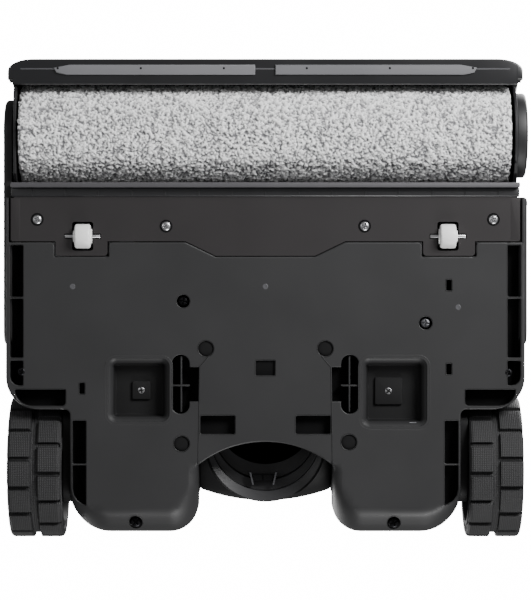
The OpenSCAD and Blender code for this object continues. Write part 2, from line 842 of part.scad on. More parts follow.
module wheel_gear(side) {
    color("#e5e2d8") mirrored(side) difference() {
        translate([gear_x, wheel_y, wheel_z]) rotate([0, 90, 0]) linear_extrude(gear_w)
            rotate(-gear_angle + 90) gear_outline(wheel_teeth);
        x_disc(axle_r, gear_x - 1, gear_x + gear_w + 1, wheel_y, wheel_z);
    }
}

module pinion(side) {
    color("#b9a05a") mirrored(side) {
        translate([gear_x - 0.5, pinion_y, pinion_z]) rotate([0, 90, 0]) linear_extrude(gear_w + 1)
            rotate(-gear_angle - 90 + 180 / pinion_teeth) gear_outline(pinion_teeth);
        x_disc(1.5, bracket_x - 7, gear_x - 0.5, pinion_y, pinion_z);
    }
}

rim_r = wheel_r - tyre_t;

module tyre(side) {
    color("#1b1b1c") mirrored(side) difference() {
        x_disc(wheel_r, tyre_in_x, tyre_out_x, wheel_y, wheel_z);
        x_disc(rim_r, tyre_in_x - 1, tyre_out_x + 1, wheel_y, wheel_z);
        translate([tyre_in_x + tyre_w / 2 - 2.1, wheel_y, wheel_z]) rotate([0, 90, 0]) difference() {
            cylinder(r = wheel_r + 1, h = 4.2);
            translate([0, 0, -1]) cylinder(r = wheel_r - 2.4, h = 8);
        }
    }
}

module rim(side) {
    color("#2f2f32") mirrored(side) difference() {
        union() {
            difference() {
                x_disc(rim_r, tyre_in_x, tyre_out_x, wheel_y, wheel_z);
                x_disc(rim_r - 2.5, tyre_in_x - 1, tyre_out_x + 1, wheel_y, wheel_z);
            }
            x_disc(rim_r - 1, tyre_in_x + 12, tyre_in_x + 16, wheel_y, wheel_z);
            x_disc(axle_r + 5, tyre_in_x - 2, tyre_out_x - 5, wheel_y, wheel_z);
        }
        x_disc(axle_r, tyre_in_x - 3, tyre_out_x, wheel_y, wheel_z);
        for (k = [0 : 5]) translate([0, wheel_y, wheel_z]) rotate([60 * k, 0, 0])
            x_disc(5, tyre_in_x + 10, tyre_in_x + 18, rim_r * 0.62, 0);
    }
}

module hubcap(side) {
    color("#4a4a4e") mirrored(side) difference() {
        union() {
            x_disc(rim_r - 2.5, tyre_out_x - 3, tyre_out_x - 1, wheel_y, wheel_z);
            x_disc(axle_r + 5, tyre_out_x - 5, tyre_out_x - 3, wheel_y, wheel_z);
        }
        x_disc(axle_r, tyre_out_x - 6, tyre_out_x - 3, wheel_y, wheel_z);
    }
}

module left_tyre() tyre(-1);
module right_tyre() tyre(1);
module left_rim() rim(-1);
module right_rim() rim(1);
module left_hubcap() hubcap(-1);
module right_hubcap() hubcap(1);
module left_axle() axle(-1);
module right_axle() axle(1);
module left_wheel_gear() wheel_gear(-1);
module right_wheel_gear() wheel_gear(1);
module left_pinion() pinion(-1);
module right_pinion() pinion(1);
module left_wheel_motor() wheel_motor(-1);
module right_wheel_motor() wheel_motor(1);
module left_motor_bracket() motor_bracket(-1);
module right_motor_bracket() motor_bracket(1);
module left_axle_bush() axle_bush(-1);
module right_axle_bush() axle_bush(1);

// ---------- neck ----------

module trunnion_bushes() {
    color("#d8d4c8") both() difference() {
        x_disc(trunnion_r + 2, notch_x, notch_x + wall, hinge_y, hinge_z);
        x_disc(trunnion_r + run, notch_x - 1, notch_x + wall + 1, hinge_y, hinge_z);
    }
}

module barrel() {
    translate([0, hinge_y, hinge_z]) rotate([0, 90, 0]) intersection() {
        rotate_extrude() intersection() {
            translate([barrel_r - crown_r, 0]) circle(r = crown_r, $fn = 128);
            translate([0, -barrel_hw]) square([60, 2 * barrel_hw]);
        }
    }
}

module neck_yoke() {
    color("#1a1a1b") difference() {
        union() {
            barrel();
            translate([0, neck_y, yoke_z0]) cylinder(r = neck_r, h = yoke_z1 - yoke_z0);
            x_disc(trunnion_r, -notch_x - wall - 3, notch_x + wall + 3, hinge_y, hinge_z);
        }
        translate([0, neck_y, yoke_z0 - 20]) cylinder(r = 29, h = 38);
        translate([0, neck_y, yoke_z0]) cylinder(r = 20.5, h = 80);
        translate([0, neck_y, spigot_z0 - 0.4]) cylinder(r = spigot_r + run, h = 40);
        translate([-18, 0, yoke_z0 - 20]) cube([36, neck_y - 5, 62]);
    }
}

button_z = neck_h - 9;
button_t = 4;
button_travel = 3;
button_proud = 0.4;

module swivel_tube() {
    color("#2b2b2e") difference() {
        translate([0, neck_y, 0]) union() {
            translate([0, 0, spigot_z0]) cylinder(r = spigot_r, h = 30);
            translate([0, 0, yoke_z1 + 0.3]) cylinder(r = neck_r, h = 8);
            translate([0, 0, yoke_z1 + 8]) cylinder(r = 29, h = neck_h - 20 - yoke_z1 - 8);
            translate([0, 0, neck_h - 20]) cylinder(r = neck_r - 0.5, h = 20);
        }
        translate([0, neck_y, 60]) cylinder(r = 17, h = 120);
        translate([0, neck_y, neck_h - socket_depth]) cylinder(r = socket_r, h = socket_depth + 1);
        translate([-8, neck_y - neck_r - 1, button_z - 5.5])
            cube([16, 1 + button_proud + button_t + button_travel + gap, 11]);
    }
}

module release_button() {
    color("#4b4b4e") translate([-7.6, neck_y - neck_r + button_proud, button_z - 5.1])
        cube([15.2, button_t, 10.2]);
}

base_plate();
roller_plate();
plate_screws();
base_screws();
screw_plugs();
squeegee_holder();
squeegee_blade();
top_housing();
belt_cover();
side_panel();
chamber_liner();
spray_bar();
water_tube();
suction_duct();
duct_hose();
brush_motor();
drive_belt();
spindle_bearing();
control_board();
trunnion_bushes();
guide_pins();
left_wheel_motor();
right_wheel_motor();
left_motor_bracket();
right_motor_bracket();
left_axle_bush();
right_axle_bush();
roller_cap();
cap_bearing();
roller_core();
roller_sleeve();
drive_socket();
idler_plug();
drive_spindle();
spindle_pulley();
motor_pulley();
roller_cover();
cover_lip();
left_latch_button();
right_latch_button();
left_tyre();
right_tyre();
left_rim();
right_rim();
left_hubcap();
right_hubcap();
left_axle();
right_axle();
left_wheel_gear();
right_wheel_gear();
left_pinion();
right_pinion();
left_guide_roller();
right_guide_roller();
neck_yoke();
swivel_tube();
release_button();
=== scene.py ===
# %% [markdown]
# # The head of an upright floor washer, seen from underneath
# The imported model gives every part at its real size and place, in metres. This lesson dresses it:
# the plain working solids get moulded edges, fleece, tread and real finishes.
# First the frame is loaded.

# %% Load the frame
import json
import math

import bmesh
import bpy
import numpy as np
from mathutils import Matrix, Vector, geometry


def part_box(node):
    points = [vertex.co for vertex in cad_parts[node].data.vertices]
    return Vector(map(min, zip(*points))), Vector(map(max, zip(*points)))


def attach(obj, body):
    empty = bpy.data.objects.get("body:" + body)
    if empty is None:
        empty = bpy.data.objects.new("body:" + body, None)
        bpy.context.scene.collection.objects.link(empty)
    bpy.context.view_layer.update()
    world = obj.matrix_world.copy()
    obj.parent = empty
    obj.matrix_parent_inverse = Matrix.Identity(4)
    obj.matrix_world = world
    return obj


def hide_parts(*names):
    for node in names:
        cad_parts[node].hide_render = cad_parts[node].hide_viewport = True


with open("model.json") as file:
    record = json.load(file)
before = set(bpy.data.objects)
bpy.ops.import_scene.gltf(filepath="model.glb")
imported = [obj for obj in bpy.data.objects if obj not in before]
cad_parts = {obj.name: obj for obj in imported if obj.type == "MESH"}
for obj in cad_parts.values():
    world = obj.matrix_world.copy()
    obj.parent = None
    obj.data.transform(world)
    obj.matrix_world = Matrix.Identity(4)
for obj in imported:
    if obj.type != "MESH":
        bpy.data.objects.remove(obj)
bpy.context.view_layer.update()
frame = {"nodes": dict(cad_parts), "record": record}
nodes = frame["nodes"]
MM = 0.001

# %% [markdown]
# ## Places
# Everything is placed from the boxes of the CAD parts, so a change in the CAD moves the looks too.
# The model faces -Y, its left side is -X, and the floor is at z = 0. Lengths below are in mm,
# because that is how a moulded part is drawn, and they turn to metres when a mesh is made.

# %% Places taken from the frame
def box_mm(node):
    low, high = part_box(node)
    return Vector(low) / MM, Vector(high) / MM


def middle(node):
    low, high = box_mm(node)
    return (low + high) / 2


def radius(node):
    low, high = box_mm(node)
    return (high.z - low.z) / 2


def solids(node):
    """The boxes of the separate solids in a node, such as each screw of a set."""
    shape = bmesh.new()
    shape.from_mesh(nodes[node].data)
    bmesh.ops.remove_doubles(shape, verts=shape.verts, dist=0.01 * MM)
    left, found = set(shape.verts), []
    while left:
        island, grow = set(), [left.pop()]
        while grow:
            vert = grow.pop()
            island.add(vert)
            for edge in vert.link_edges:
                other = edge.other_vert(vert)
                if other in left:
                    left.remove(other)
                    grow.append(other)
        spots = np.array([v.co[:] for v in island]) / MM
        found.append((spots.min(axis=0), spots.max(axis=0)))
    shape.free()
    return sorted(found, key=lambda b: tuple(b[0]))


def plan_middle(low, high):
    """X and Y of the middle of a box."""
    return (low[0] + high[0]) / 2, (low[1] + high[1]) / 2


DECK_LOW, DECK_HIGH = box_mm("base_plate")
UNDER = DECK_LOW.z
SEAM = DECK_HIGH.z
PARTING = box_mm("roller_plate")[0].y + 24.7
ROLLER = middle("roller_sleeve")
ROLLER_R = radius("roller_sleeve")
WHEEL = middle("right_tyre")
WHEEL_R = radius("right_tyre")
HINGE = Vector((0, middle("trunnion_bushes").y, middle("trunnion_bushes").z))
NECK = middle("swivel_tube")
print("roller", round(ROLLER_R, 2), "wheel", round(WHEEL_R, 2), "parting line", round(PARTING, 2))

# %% [markdown]
# ## Small helpers
# A shader is a graph. One function adds a node with its settings and links, and every material below
# is written with it. Colours are given as sRGB hex, the way a paint chart gives them, and turned to
# the linear values that Blender mixes in.

# %% Colour and shader helpers
def linear(hex_colour):
    parts = [int(hex_colour[i:i + 2], 16) / 255 for i in (1, 3, 5)]
    return [c / 12.92 if c <= 0.04045 else ((c + 0.055) / 1.055) ** 2.4 for c in parts] + [1.0]


def add(tree, kind, inputs=None, **settings):
    """Adds a node; an input given as a socket is linked, and any other value is set."""
    node = tree.nodes.new(kind)
    for key, value in settings.items():
        setattr(node, key, value)
    for key, value in (inputs or {}).items():
        if isinstance(value, bpy.types.NodeSocket):
            tree.links.new(value, node.inputs[key])
        else:
            node.inputs[key].default_value = value
    return node


def new_material(name):
    material = bpy.data.materials.new(name)
    material.use_nodes = True
    tree = material.node_tree
    shader = tree.nodes["Principled BSDF"]
    place = add(tree, "ShaderNodeTexCoord").outputs["Object"]
    return material, tree, shader, place


def mixed(tree, low, high, factor):
    """Blends two colours by a factor socket."""
    node = add(tree, "ShaderNodeMix", {"Factor": factor}, data_type="RGBA")
    for slot, colour in ((6, low), (7, high)):
        if isinstance(colour, bpy.types.NodeSocket):
            tree.links.new(colour, node.inputs[slot])
        else:
            node.inputs[slot].default_value = colour
    return node.outputs[2]


def shade(colour, factor):
    return [min(1, c * factor) for c in colour[:3]] + [1]


# %% [markdown]
# ## Moulded plastic
# Most of the head is black ABS from an injection mould. The mould's cavity is spark-eroded, which
# leaves a fine even grain about 0.3 mm across, and the parts pick up faint cloudy marks in handling.
# Hollows and the deep wells get near-black, rough copies with hardly any gloss: their dark colour is
# painted shade.
# Grain as bump breaks up the highlight, and a wide soft noise in colour and roughness keeps a large
# flat plate from looking like a printed colour. The grain is drawn at twice its real size, because
# the real one is finer than a render of the whole head can show.

# %% Moulded plastic
CLOUD_MM = 35
GRAIN_HIGH_MM = 0.05


def moulded_plastic(name, colour, roughness, grain_mm=0.6, grain=0.25, cloud=0.1, coat=0.0, gloss=0.5):
    material, tree, shader, place = new_material(name)
    base = linear(colour)
    clouds = add(tree, "ShaderNodeTexNoise", {"Vector": place, "Scale": 1 / (CLOUD_MM * MM), "Detail": 4.0})
    tree.links.new(mixed(tree, shade(base, 1 - cloud), shade(base, 1 + cloud), clouds.outputs["Fac"]),
                   shader.inputs["Base Color"])
    fine = add(tree, "ShaderNodeTexNoise", {"Vector": place, "Scale": 1 / (grain_mm * MM), "Detail": 2.0})
    bump = add(tree, "ShaderNodeBump", {"Height": fine.outputs["Fac"], "Strength": grain,
                                        "Distance": GRAIN_HIGH_MM * MM})
    tree.links.new(bump.outputs["Normal"], shader.inputs["Normal"])
    spread = add(tree, "ShaderNodeMapRange", {"Value": clouds.outputs["Fac"], "To Min": roughness - 0.06,
                                              "To Max": roughness + 0.08})
    tree.links.new(spread.outputs["Result"], shader.inputs["Roughness"])
    shader.inputs["IOR"].default_value = 1.5
    shader.inputs["Specular IOR Level"].default_value = gloss
    shader.inputs["Coat Weight"].default_value = coat
    shader.inputs["Coat Roughness"].default_value = 0.12
    return material


DECK_ABS = moulded_plastic("eroded_abs_deck", "#262627", 0.5)
# The deck plastic darkened for the walls and floors of the deep wells: painted shade.
WELL_SHADE_ABS = moulded_plastic("eroded_abs_well_painted_shade", "#0d0d0e", 0.75, gloss=0.35)
RETAINER_ABS = moulded_plastic("eroded_abs_retainer", "#201d1e", 0.55)
SHELL_ABS = moulded_plastic("eroded_abs_shell", "#1b1b1d", 0.55)
DARK_PP = moulded_plastic("moulded_polypropylene_dark", "#0f0f10", 0.6)
GLOSS_ABS = moulded_plastic("polished_abs_cover", "#19191b", 0.3, grain=0.06, coat=0.3)
BUTTON_ABS = moulded_plastic("eroded_abs_button", "#4a4a4d", 0.45)
LIP_ABS = moulded_plastic("moulded_abs_lip_grey", "#6c6c6f", 0.6)
WHITE_POM = moulded_plastic("turned_acetal_white", "#fafaf9", 0.35, grain=0.08, cloud=0.03)
BUSH_POM = moulded_plastic("moulded_acetal_bush", "#d8d4c8", 0.4, grain=0.1, cloud=0.04)
BOARD = moulded_plastic("glass_epoxy_board", "#1f5a34", 0.35, grain=0.1)
SMOKE_PP = moulded_plastic("smoked_polypropylene_strip", "#242426", 0.4, coat=0.2)
# The neck's ring and funnel get lighter copies of its ABS, painted light, and its barrel a near-black copy,
# painted shade.
FUNNEL_LIT_ABS = moulded_plastic("eroded_abs_funnel_painted_light", "#303032", 0.4)
PLUG_RUBBER = moulded_plastic("moulded_rubber_plug", "#0b0b0c", 0.9, grain=0.1, gloss=0.3)
SHADE_DARK_ABS = moulded_plastic("eroded_abs_neck", "#0c0c0d", 0.6, gloss=0.25)
NECK_RING_LIT_ABS = moulded_plastic("eroded_abs_neck_ring_painted_light", "#323234", 0.4)
# A near-black plastic for hollows, slots and openings: painted shade.
HOLLOW_SHADE_PP = moulded_plastic("painted_shade_polypropylene_hollow", "#070708", 0.9, gloss=0.2)
print("plastics:", [m.name for m in bpy.data.materials])

# %% [markdown]
# ## Metals and rubbers
# The screws and pins are zinc-plated or black-zinc steel: metal, with a soft brushed highlight from
# drawn wire. Rubber reflects very little and spreads what it does, so its roughness is high.

# %% Metals and rubbers
def turned_metal(name, colour, roughness, line_mm=0.25):
    material, tree, shader, place = new_material(name)
    stretch = add(tree, "ShaderNodeMapping", {"Vector": place, "Scale": (0.15, 1.0, 1.0)})
    lines = add(tree, "ShaderNodeTexNoise", {"Vector": stretch.outputs["Vector"],
                                             "Scale": 1 / (line_mm * MM), "Detail": 3.0})
    base = linear(colour)
    tree.links.new(mixed(tree, shade(base, 0.8), base, lines.outputs["Fac"]), shader.inputs["Base Color"])
    spread = add(tree, "ShaderNodeMapRange", {"Value": lines.outputs["Fac"], "To Min": roughness - 0.08,
                                              "To Max": roughness + 0.1})
    tree.links.new(spread.outputs["Result"], shader.inputs["Roughness"])
    shader.inputs["Metallic"].default_value = 1.0
    return material


ZINC = turned_metal("zinc_plated_steel", "#c9c9cb", 0.32)
BLACK_ZINC = turned_metal("black_zinc_steel", "#2a2a2c", 0.4)
CAN_STEEL = turned_metal("drawn_steel_can", "#8d8e92", 0.4, 0.6)
CORE_ALUMINIUM = turned_metal("extruded_aluminium_core", "#a9adb3", 0.35, 0.8)
BRASS = turned_metal("hobbed_brass", "#b9975a", 0.35)
BLADE_RUBBER = moulded_plastic("extruded_blade_rubber", "#4a494c", 0.6, grain=0.15)
HOSE_RUBBER = moulded_plastic("blown_hose_rubber", "#1b1b1c", 0.6)
SILICONE = moulded_plastic("extruded_silicone_tube", "#a8b6bd", 0.4, grain=0.05)
print("metals and rubbers:", ZINC.name, BLACK_ZINC.name, BLADE_RUBBER.name, HOSE_RUBBER.name)

# %% [markdown]
# ## Fleece
# The roller wears a knitted microfibre pile of pale grey tufts. The mesh made further down stores how
# high each spot of pile stands, and the colour follows that height, darker down in the gaps where the
# yarn parts: painted shade, so that the gaps are dark at any light. Sheen is the glow of loose fibre
# ends. The strands are drawn half a millimetre thick, because the real ones are finer than a render
# can show.

# %% Fleece finish
STRAND_MM = 0.5


def fleece_pile():
    material, tree, shader, place = new_material("knitted_microfibre_pile_gap_shade")
    height = add(tree, "ShaderNodeAttribute", attribute_name="pile_height").outputs["Fac"]
    # Lower pile is painted darker: painted shade in the gaps between tufts.
    depth = add(tree, "ShaderNodeMapRange", {"Value": height, "From Min": 0.12, "From Max": 0.75})
    pile = mixed(tree, linear("#78787b"), linear("#ffffff"), depth.outputs["Result"])
    strands = add(tree, "ShaderNodeTexNoise", {"Vector": place, "Scale": 1 / (STRAND_MM * MM), "Detail": 3.0})
    flecked = mixed(tree, pile, linear("#ffffff"), add(tree, "ShaderNodeMapRange", {
        "Value": strands.outputs["Fac"], "From Min": 0.5, "From Max": 0.9, "To Max": 0.5}).outputs["Result"])
    tree.links.new(flecked, shader.inputs["Base Color"])
    bump = add(tree, "ShaderNodeBump", {"Height": strands.outputs["Fac"], "Strength": 0.7,
                                        "Distance": 0.3 * MM})
    tree.links.new(bump.outputs["Normal"], shader.inputs["Normal"])
    shader.inputs["Roughness"].default_value = 0.9
    shader.inputs["Sheen Weight"].default_value = 0.3
    shader.inputs["Sheen Roughness"].default_value = 0.5
    return material


FLEECE = fleece_pile()

# %% [markdown]
# ## Tyre rubber
# The tread blocks carry a fine moulded grid that helps them grip. It is drawn from the mesh's own
# unrolled coordinates, one unit to a metre, so the squares stay square all round the tyre.
# The real grid is about 0.9 mm, and it is drawn at 1 mm. Its raised squares are drawn lighter
# than the lines between them: painted highlight on the squares and painted shade between them.

# %% Tyre rubber
GRIP_GRID = 1.0
WAVE_TURNS = 20  # a wave texture turns through 20 radians for each unit of its scale


def tyre_rubber():
    material, tree, shader, place = new_material("moulded_tyre_rubber")
    rolled = add(tree, "ShaderNodeUVMap", uv_map="unrolled").outputs["UV"]
    wave_scale = 2 * math.pi / (WAVE_TURNS * GRIP_GRID * MM)
    bumps = []
    for direction in ("X", "Y"):
        wave = add(tree, "ShaderNodeTexWave", {"Vector": rolled, "Scale": wave_scale},
                   wave_type="BANDS", bands_direction=direction, wave_profile="SIN")
        bumps.append(wave.outputs["Fac"])
    grid = add(tree, "ShaderNodeMath", {0: bumps[0], 1: bumps[1]}, operation="MULTIPLY")
    bump = add(tree, "ShaderNodeBump", {"Height": grid.outputs[0], "Strength": 0.8, "Distance": 0.3 * MM})
    tree.links.new(bump.outputs["Normal"], shader.inputs["Normal"])
    dust = add(tree, "ShaderNodeTexNoise", {"Vector": place, "Scale": 1 / (9 * MM), "Detail": 5.0})
    black = mixed(tree, linear("#0a0a0b"), linear("#131314"), dust.outputs["Fac"])
    # Lighter colour on the grid's raised squares: painted highlight, and painted shade between them.
    tree.links.new(mixed(tree, black, linear("#363638"), grid.outputs[0]), shader.inputs["Base Color"])
    shader.inputs["Roughness"].default_value = 0.65
    shader.inputs["IOR"].default_value = 1.52
    return material


TYRE = tyre_rubber()

# %% [markdown]
# ## Dress the CAD parts
# Each CAD part says which finish it has, and the finishes above are put on by that name.
# Soft edges come next. A moulded part has no knife edges: every corner has a radius of a few tenths
# of a millimetre, and that thin bright line is what makes plastic look like plastic. A bevel modifier
# adds it without touching the CAD mesh, and only rounds edges sharper than a set angle.

# %% Finishes and soft edges on CAD parts
finishes = {
    "deck_plastic": DECK_ABS, "retainer_plastic": RETAINER_ABS, "shell_plastic": SHELL_ABS,
    "dark_plastic": DARK_PP, "gloss_shell": GLOSS_ABS, "lip_strip": LIP_ABS,
    "button_plastic": BUTTON_ABS, "white_acetal": WHITE_POM, "bush_acetal": BUSH_POM,
    "fleece": FLEECE, "blade_rubber": BLADE_RUBBER, "tyre_rubber": TYRE,
    "hose_rubber": HOSE_RUBBER, "belt_rubber": HOSE_RUBBER, "steel": ZINC, "black_steel": BLACK_ZINC,
    "motor_steel": CAN_STEEL, "bracket_steel": CAN_STEEL, "aluminium_core": CORE_ALUMINIUM,
    "brass_pinion": BRASS, "silicone_tube": SILICONE, "board_laminate": BOARD,
}
node_slot = {row["node"]: row["material_slot"] for row in frame["record"]["subparts"]}


def round_edges(part, width_mm, segments=2, angle=35):
    weld = part.modifiers.new("weld", "WELD")
    weld.merge_threshold = 0.002 * MM
    bevel = part.modifiers.new("edge", "BEVEL")
    bevel.width = width_mm * MM
    bevel.segments = segments
    bevel.limit_method = "ANGLE"
    bevel.angle_limit = math.radians(angle)
    bevel.use_clamp_overlap = True


BROAD_EDGED = ("roller_plate", "swivel_tube", "roller_cap")
for name, part in nodes.items():
    part.data.materials.clear()
    part.data.materials.append(finishes[node_slot[name]])
    round_edges(part, 0.5 if name in BROAD_EDGED else 0.2)
print("CAD parts dressed:", len(nodes))

# %% [markdown]
# ## Making a piece
# A piece is a list of points and faces. One function turns them into an object in metres, gives it
# its finish, rounds its shading up to a set angle and tells the frame which body carries it.
# Where a plain closed shape needs one clean cut, a boolean takes it out and the result is kept.

# %% Make a piece from points and faces
def make_piece(name, points, faces, finish, body, stands_for=(), angle=40, close=0.004):
    """A mesh in metres from points in mm; a face that is already there is skipped."""
    shape = bmesh.new()
    verts = [shape.verts.new([c * MM for c in p]) for p in points]
    for face in faces:
        try:
            shape.faces.new([verts[i] for i in face])
        except ValueError:
            pass
    if close:
        bmesh.ops.remove_doubles(shape, verts=shape.verts, dist=close * MM)
    loose = [v for v in shape.verts if not v.link_faces]
    bmesh.ops.delete(shape, geom=loose, context="VERTS")
    bmesh.ops.recalc_face_normals(shape, faces=shape.faces)
    mesh = bpy.data.meshes.new(name)
    shape.to_mesh(mesh)
    shape.free()
    mesh.shade_smooth()
    mesh.set_sharp_from_angle(angle=math.radians(angle))
    mesh.materials.append(finish)
    piece = bpy.data.objects.new(name, mesh)
    bpy.context.scene.collection.objects.link(piece)
    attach(piece, body)
    if stands_for:
        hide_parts(*stands_for)
    print(name, len(mesh.polygons), "faces")
    return piece


def cut(piece, shape):
    """Takes a closed shape out of a piece and keeps the plain result."""
    mesh = bpy.data.meshes.new("cutter")
    mesh.from_pydata([[c * MM for c in p] for p in shape[0]], [], shape[1])
    cutter = bpy.data.objects.new("cutter", mesh)
    bpy.context.scene.collection.objects.link(cutter)
    modifier = piece.modifiers.new("cut", "BOOLEAN")
    modifier.operation = "DIFFERENCE"
    modifier.solver = "EXACT"
    modifier.object = cutter
    bpy.context.view_layer.update()
    result = bpy.data.meshes.new_from_object(piece.evaluated_get(bpy.context.evaluated_depsgraph_get()))
    piece.modifiers.clear()
    piece.data = result
    bpy.data.objects.remove(cutter)
    result.set_sharp_from_angle(angle=math.radians(40))


def joined(*shapes):
    """Puts several (points, faces) shapes into one."""
    points, faces = [], []
    for some_points, some_faces in shapes:
        start = len(points)
        points += [tuple(p) for p in some_points]
        faces += [[i + start for i in face] for face in some_faces]
    return points, faces


# %% [markdown]
# ## Loft, turning and rounded slabs
# Three ways of making a shape cover nearly every moulded piece here. A loft skins a row of rings.
# A turned shape is a loft of circles round an axis, as on a lathe. A rounded slab lofts one outline,
# drawn slightly smaller at the top and bottom along a quarter circle, which is how a moulded plate's
# edge is drawn.

# %% Loft, turning and rounded slabs
def loft(rings, cap_start=True, cap_end=True):
    count = len(rings[0])
    points = [p for ring in rings for p in ring]
    faces = []
    for k in range(len(rings) - 1):
        for i in range(count):
            j = (i + 1) % count
            faces.append([k * count + i, k * count + j, (k + 1) * count + j, (k + 1) * count + i])
    if cap_start:
        faces.append(list(range(count))[::-1])
    if cap_end:
        faces.append([(len(rings) - 1) * count + i for i in range(count)])
    return points, faces


def circle_x(x, r, centre, steps=64):
    """A ring round an axis along X."""
    turn = [2 * math.pi * i / steps for i in range(steps)]
    return [(x, centre.y + r * math.cos(a), centre.z + r * math.sin(a)) for a in turn]


def circle_z(z, r, x, y, steps=64):
    turn = [2 * math.pi * i / steps for i in range(steps)]
    return [(x + r * math.cos(a), y + r * math.sin(a), z) for a in turn]


def turned_x(profile, centre, steps=64, caps=(True, True)):
    """Turns a profile of (x, radius) pairs round an axis along X."""
    return loft([circle_x(x, r, centre, steps) for x, r in profile], *caps)


def turned_z(profile, x, y, steps=64, caps=(True, True)):
    return loft([circle_z(z, r, x, y, steps) for z, r in profile], *caps)


def arc(centre_a, centre_b, r, start, end, steps=6):
    """Points of an arc in a flat drawing, angles in degrees."""
    turn = [math.radians(start + (end - start) * k / steps) for k in range(steps + 1)]
    return [(centre_a + r * math.cos(a), centre_b + r * math.sin(a)) for a in turn]


def soft_rect(x0, y0, x1, y1, radii, steps=6):
    """A rectangle with its own radius at each corner: low left, low right, high right, high left."""
    if isinstance(radii, (int, float)):
        radii = [radii] * 4
    corners = [(x0, y0, 1, 1, 180), (x1, y0, -1, 1, 270), (x1, y1, -1, -1, 0), (x0, y1, 1, -1, 90)]
    loop = []
    for (x, y, dx, dy, start), r in zip(corners, radii):
        r = max(r, 0.02)
        loop += arc(x + dx * r, y + dy * r, r, start, start + 90, steps)
    return loop


def inset(loop, distance):
    """Moves a closed loop inwards (anticlockwise loop) along its corners' bisectors."""
    spots = np.array(loop)
    before = spots - np.roll(spots, 1, axis=0)
    after = np.roll(spots, -1, axis=0) - spots
    normals = []
    for step in (before, after):
        length = np.maximum(np.linalg.norm(step, axis=1, keepdims=True), 1e-9)
        unit = step / length
        normals.append(np.stack([-unit[:, 1], unit[:, 0]], axis=1))
    bisector = normals[0] + normals[1]
    scale = np.maximum((bisector ** 2).sum(axis=1, keepdims=True) / 2, 0.35)
    return [tuple(p) for p in spots + bisector / scale * distance]


def edge_steps(r, steps=4):
    """(inset, rise) pairs of a quarter circle, from the flat face to the wall."""
    turn = [math.pi / 2 * k / steps for k in range(steps + 1)]
    return [(r * (1 - math.sin(a)), r * (1 - math.cos(a))) for a in turn]


def slab(loop, low, high, r_low, r_high):
    """A flat plate of an outline between two heights, its edges rounded."""
    rings = [[(x, y, low + rise) for x, y in inset(loop, away)] for away, rise in edge_steps(r_low)]
    top = [[(x, y, high - rise) for x, y in inset(loop, away)] for away, rise in edge_steps(r_high)]
    return loft(rings + top[::-1])

# %% [markdown]
# ## Skins with a height
# The base plate and the top housing are broad sheets with openings, whose edges sweep up or down.
# Such a skin can be made from its outline alone: sample points are set in rows that follow the edge,
# all of them are joined into triangles that respect the outline, and each point is then lifted by a
# height that depends on how far it is from the edge. It follows the drawing exactly, and gives an
# even, smooth sheet where a boolean would leave slivers.

# %% Skins with a height
def distance_to(loop, spots):
    """Distance of each spot to the closed loop."""
    start = np.array(loop)
    step = np.roll(start, -1, axis=0) - start
    length = np.maximum((step ** 2).sum(axis=1), 1e-12)
    away = spots[:, None, :] - start[None, :, :]
    along = np.clip((away * step[None, :, :]).sum(axis=2) / length[None, :], 0, 1)
    near = start[None, :, :] + along[:, :, None] * step[None, :, :]
    return np.sqrt(((spots[:, None, :] - near) ** 2).sum(axis=2)).min(axis=1)


def inside(loop, spots):
    """Which spots lie inside the loop, by counting crossings."""
    start = np.array(loop)
    end = np.roll(start, -1, axis=0)
    x, y = spots[:, 0:1], spots[:, 1:2]
    crosses = (start[None, :, 1] > y) != (end[None, :, 1] > y)
    span = np.where(end[:, 1] == start[:, 1], 1e-9, end[:, 1] - start[:, 1])
    at = start[None, :, 0] + (y - start[None, :, 1]) / span[None, :] * (end - start)[None, :, 0]
    return (crosses & (x < at)).sum(axis=1) % 2 == 1


def resample(loop, spacing):
    """Adds points along the long sides of a loop."""
    dense = []
    for a, b in zip(loop, loop[1:] + loop[:1]):
        parts = max(1, int(math.dist(a, b) / spacing))
        dense += [(a[0] + (b[0] - a[0]) * k / parts, a[1] + (b[1] - a[1]) * k / parts) for k in range(parts)]
    return dense


def skin(outline, holes, rows, height, spacing=3.0, extra=(), keep_row=None):
    """Triangulated sheet inside the outline and outside the holes, with points in rows of set insets."""
    loops = [resample(outline, spacing)] + [resample(hole, spacing) for hole in holes]
    coords, edges = [], []
    for loop in loops:
        first = len(coords)
        coords += [Vector(p) for p in loop]
        edges += [(first + i, first + (i + 1) % len(loop)) for i in range(len(loop))]
    samples = [p for away in rows for p in inset(loops[0], away)
               if keep_row is None or keep_row(p, away)]
    samples += list(extra)
    if samples:
        spots = np.array(samples)
        clear = distance_to(loops[0], spots) > 0.08
        ok = inside(loops[0], spots) & clear
        for hole in loops[1:]:
            ok &= ~inside(hole, spots) & (distance_to(hole, spots) > 0.3)
        coords += [Vector(p) for p in spots[ok].tolist()]
    flat, _, tris, _, _, _ = geometry.delaunay_2d_cdt(coords, edges, [], 1, 1e-5)
    flat = np.array([p[:] for p in flat])
    tris = np.array([list(t) for t in tris])
    centres = flat[tris].mean(axis=1)
    keep = inside(loops[0], centres)
    for hole in loops[1:]:
        keep &= ~inside(hole, centres)
    heights = height(flat, loops[0])
    points = np.column_stack([flat, heights])
    return [tuple(p) for p in points], tris[keep].tolist(), loops


def fillet(away, r):
    """Rise of a rounded edge of radius r at a distance from the outline."""
    short = np.clip(r - away, 0, None)
    return r - np.sqrt(np.clip(r * r - short * short, 0, None))


def smooth(low, high, value):
    t = np.clip((value - low) / (high - low), 0, 1)
    return t * t * (3 - 2 * t)


# %% [markdown]
# ## Base plate
# The underside is one moulding: a wide front block, two rear lobes with a channel between them for
# the neck, and a tongue with a hollow rear edge. Its stations are the ones in the CAD source.
# The lobes are rounded like a bar of soap at the back, and softly along the channel, because they
# slide over thresholds there. Everywhere else the edge is a small mould radius.

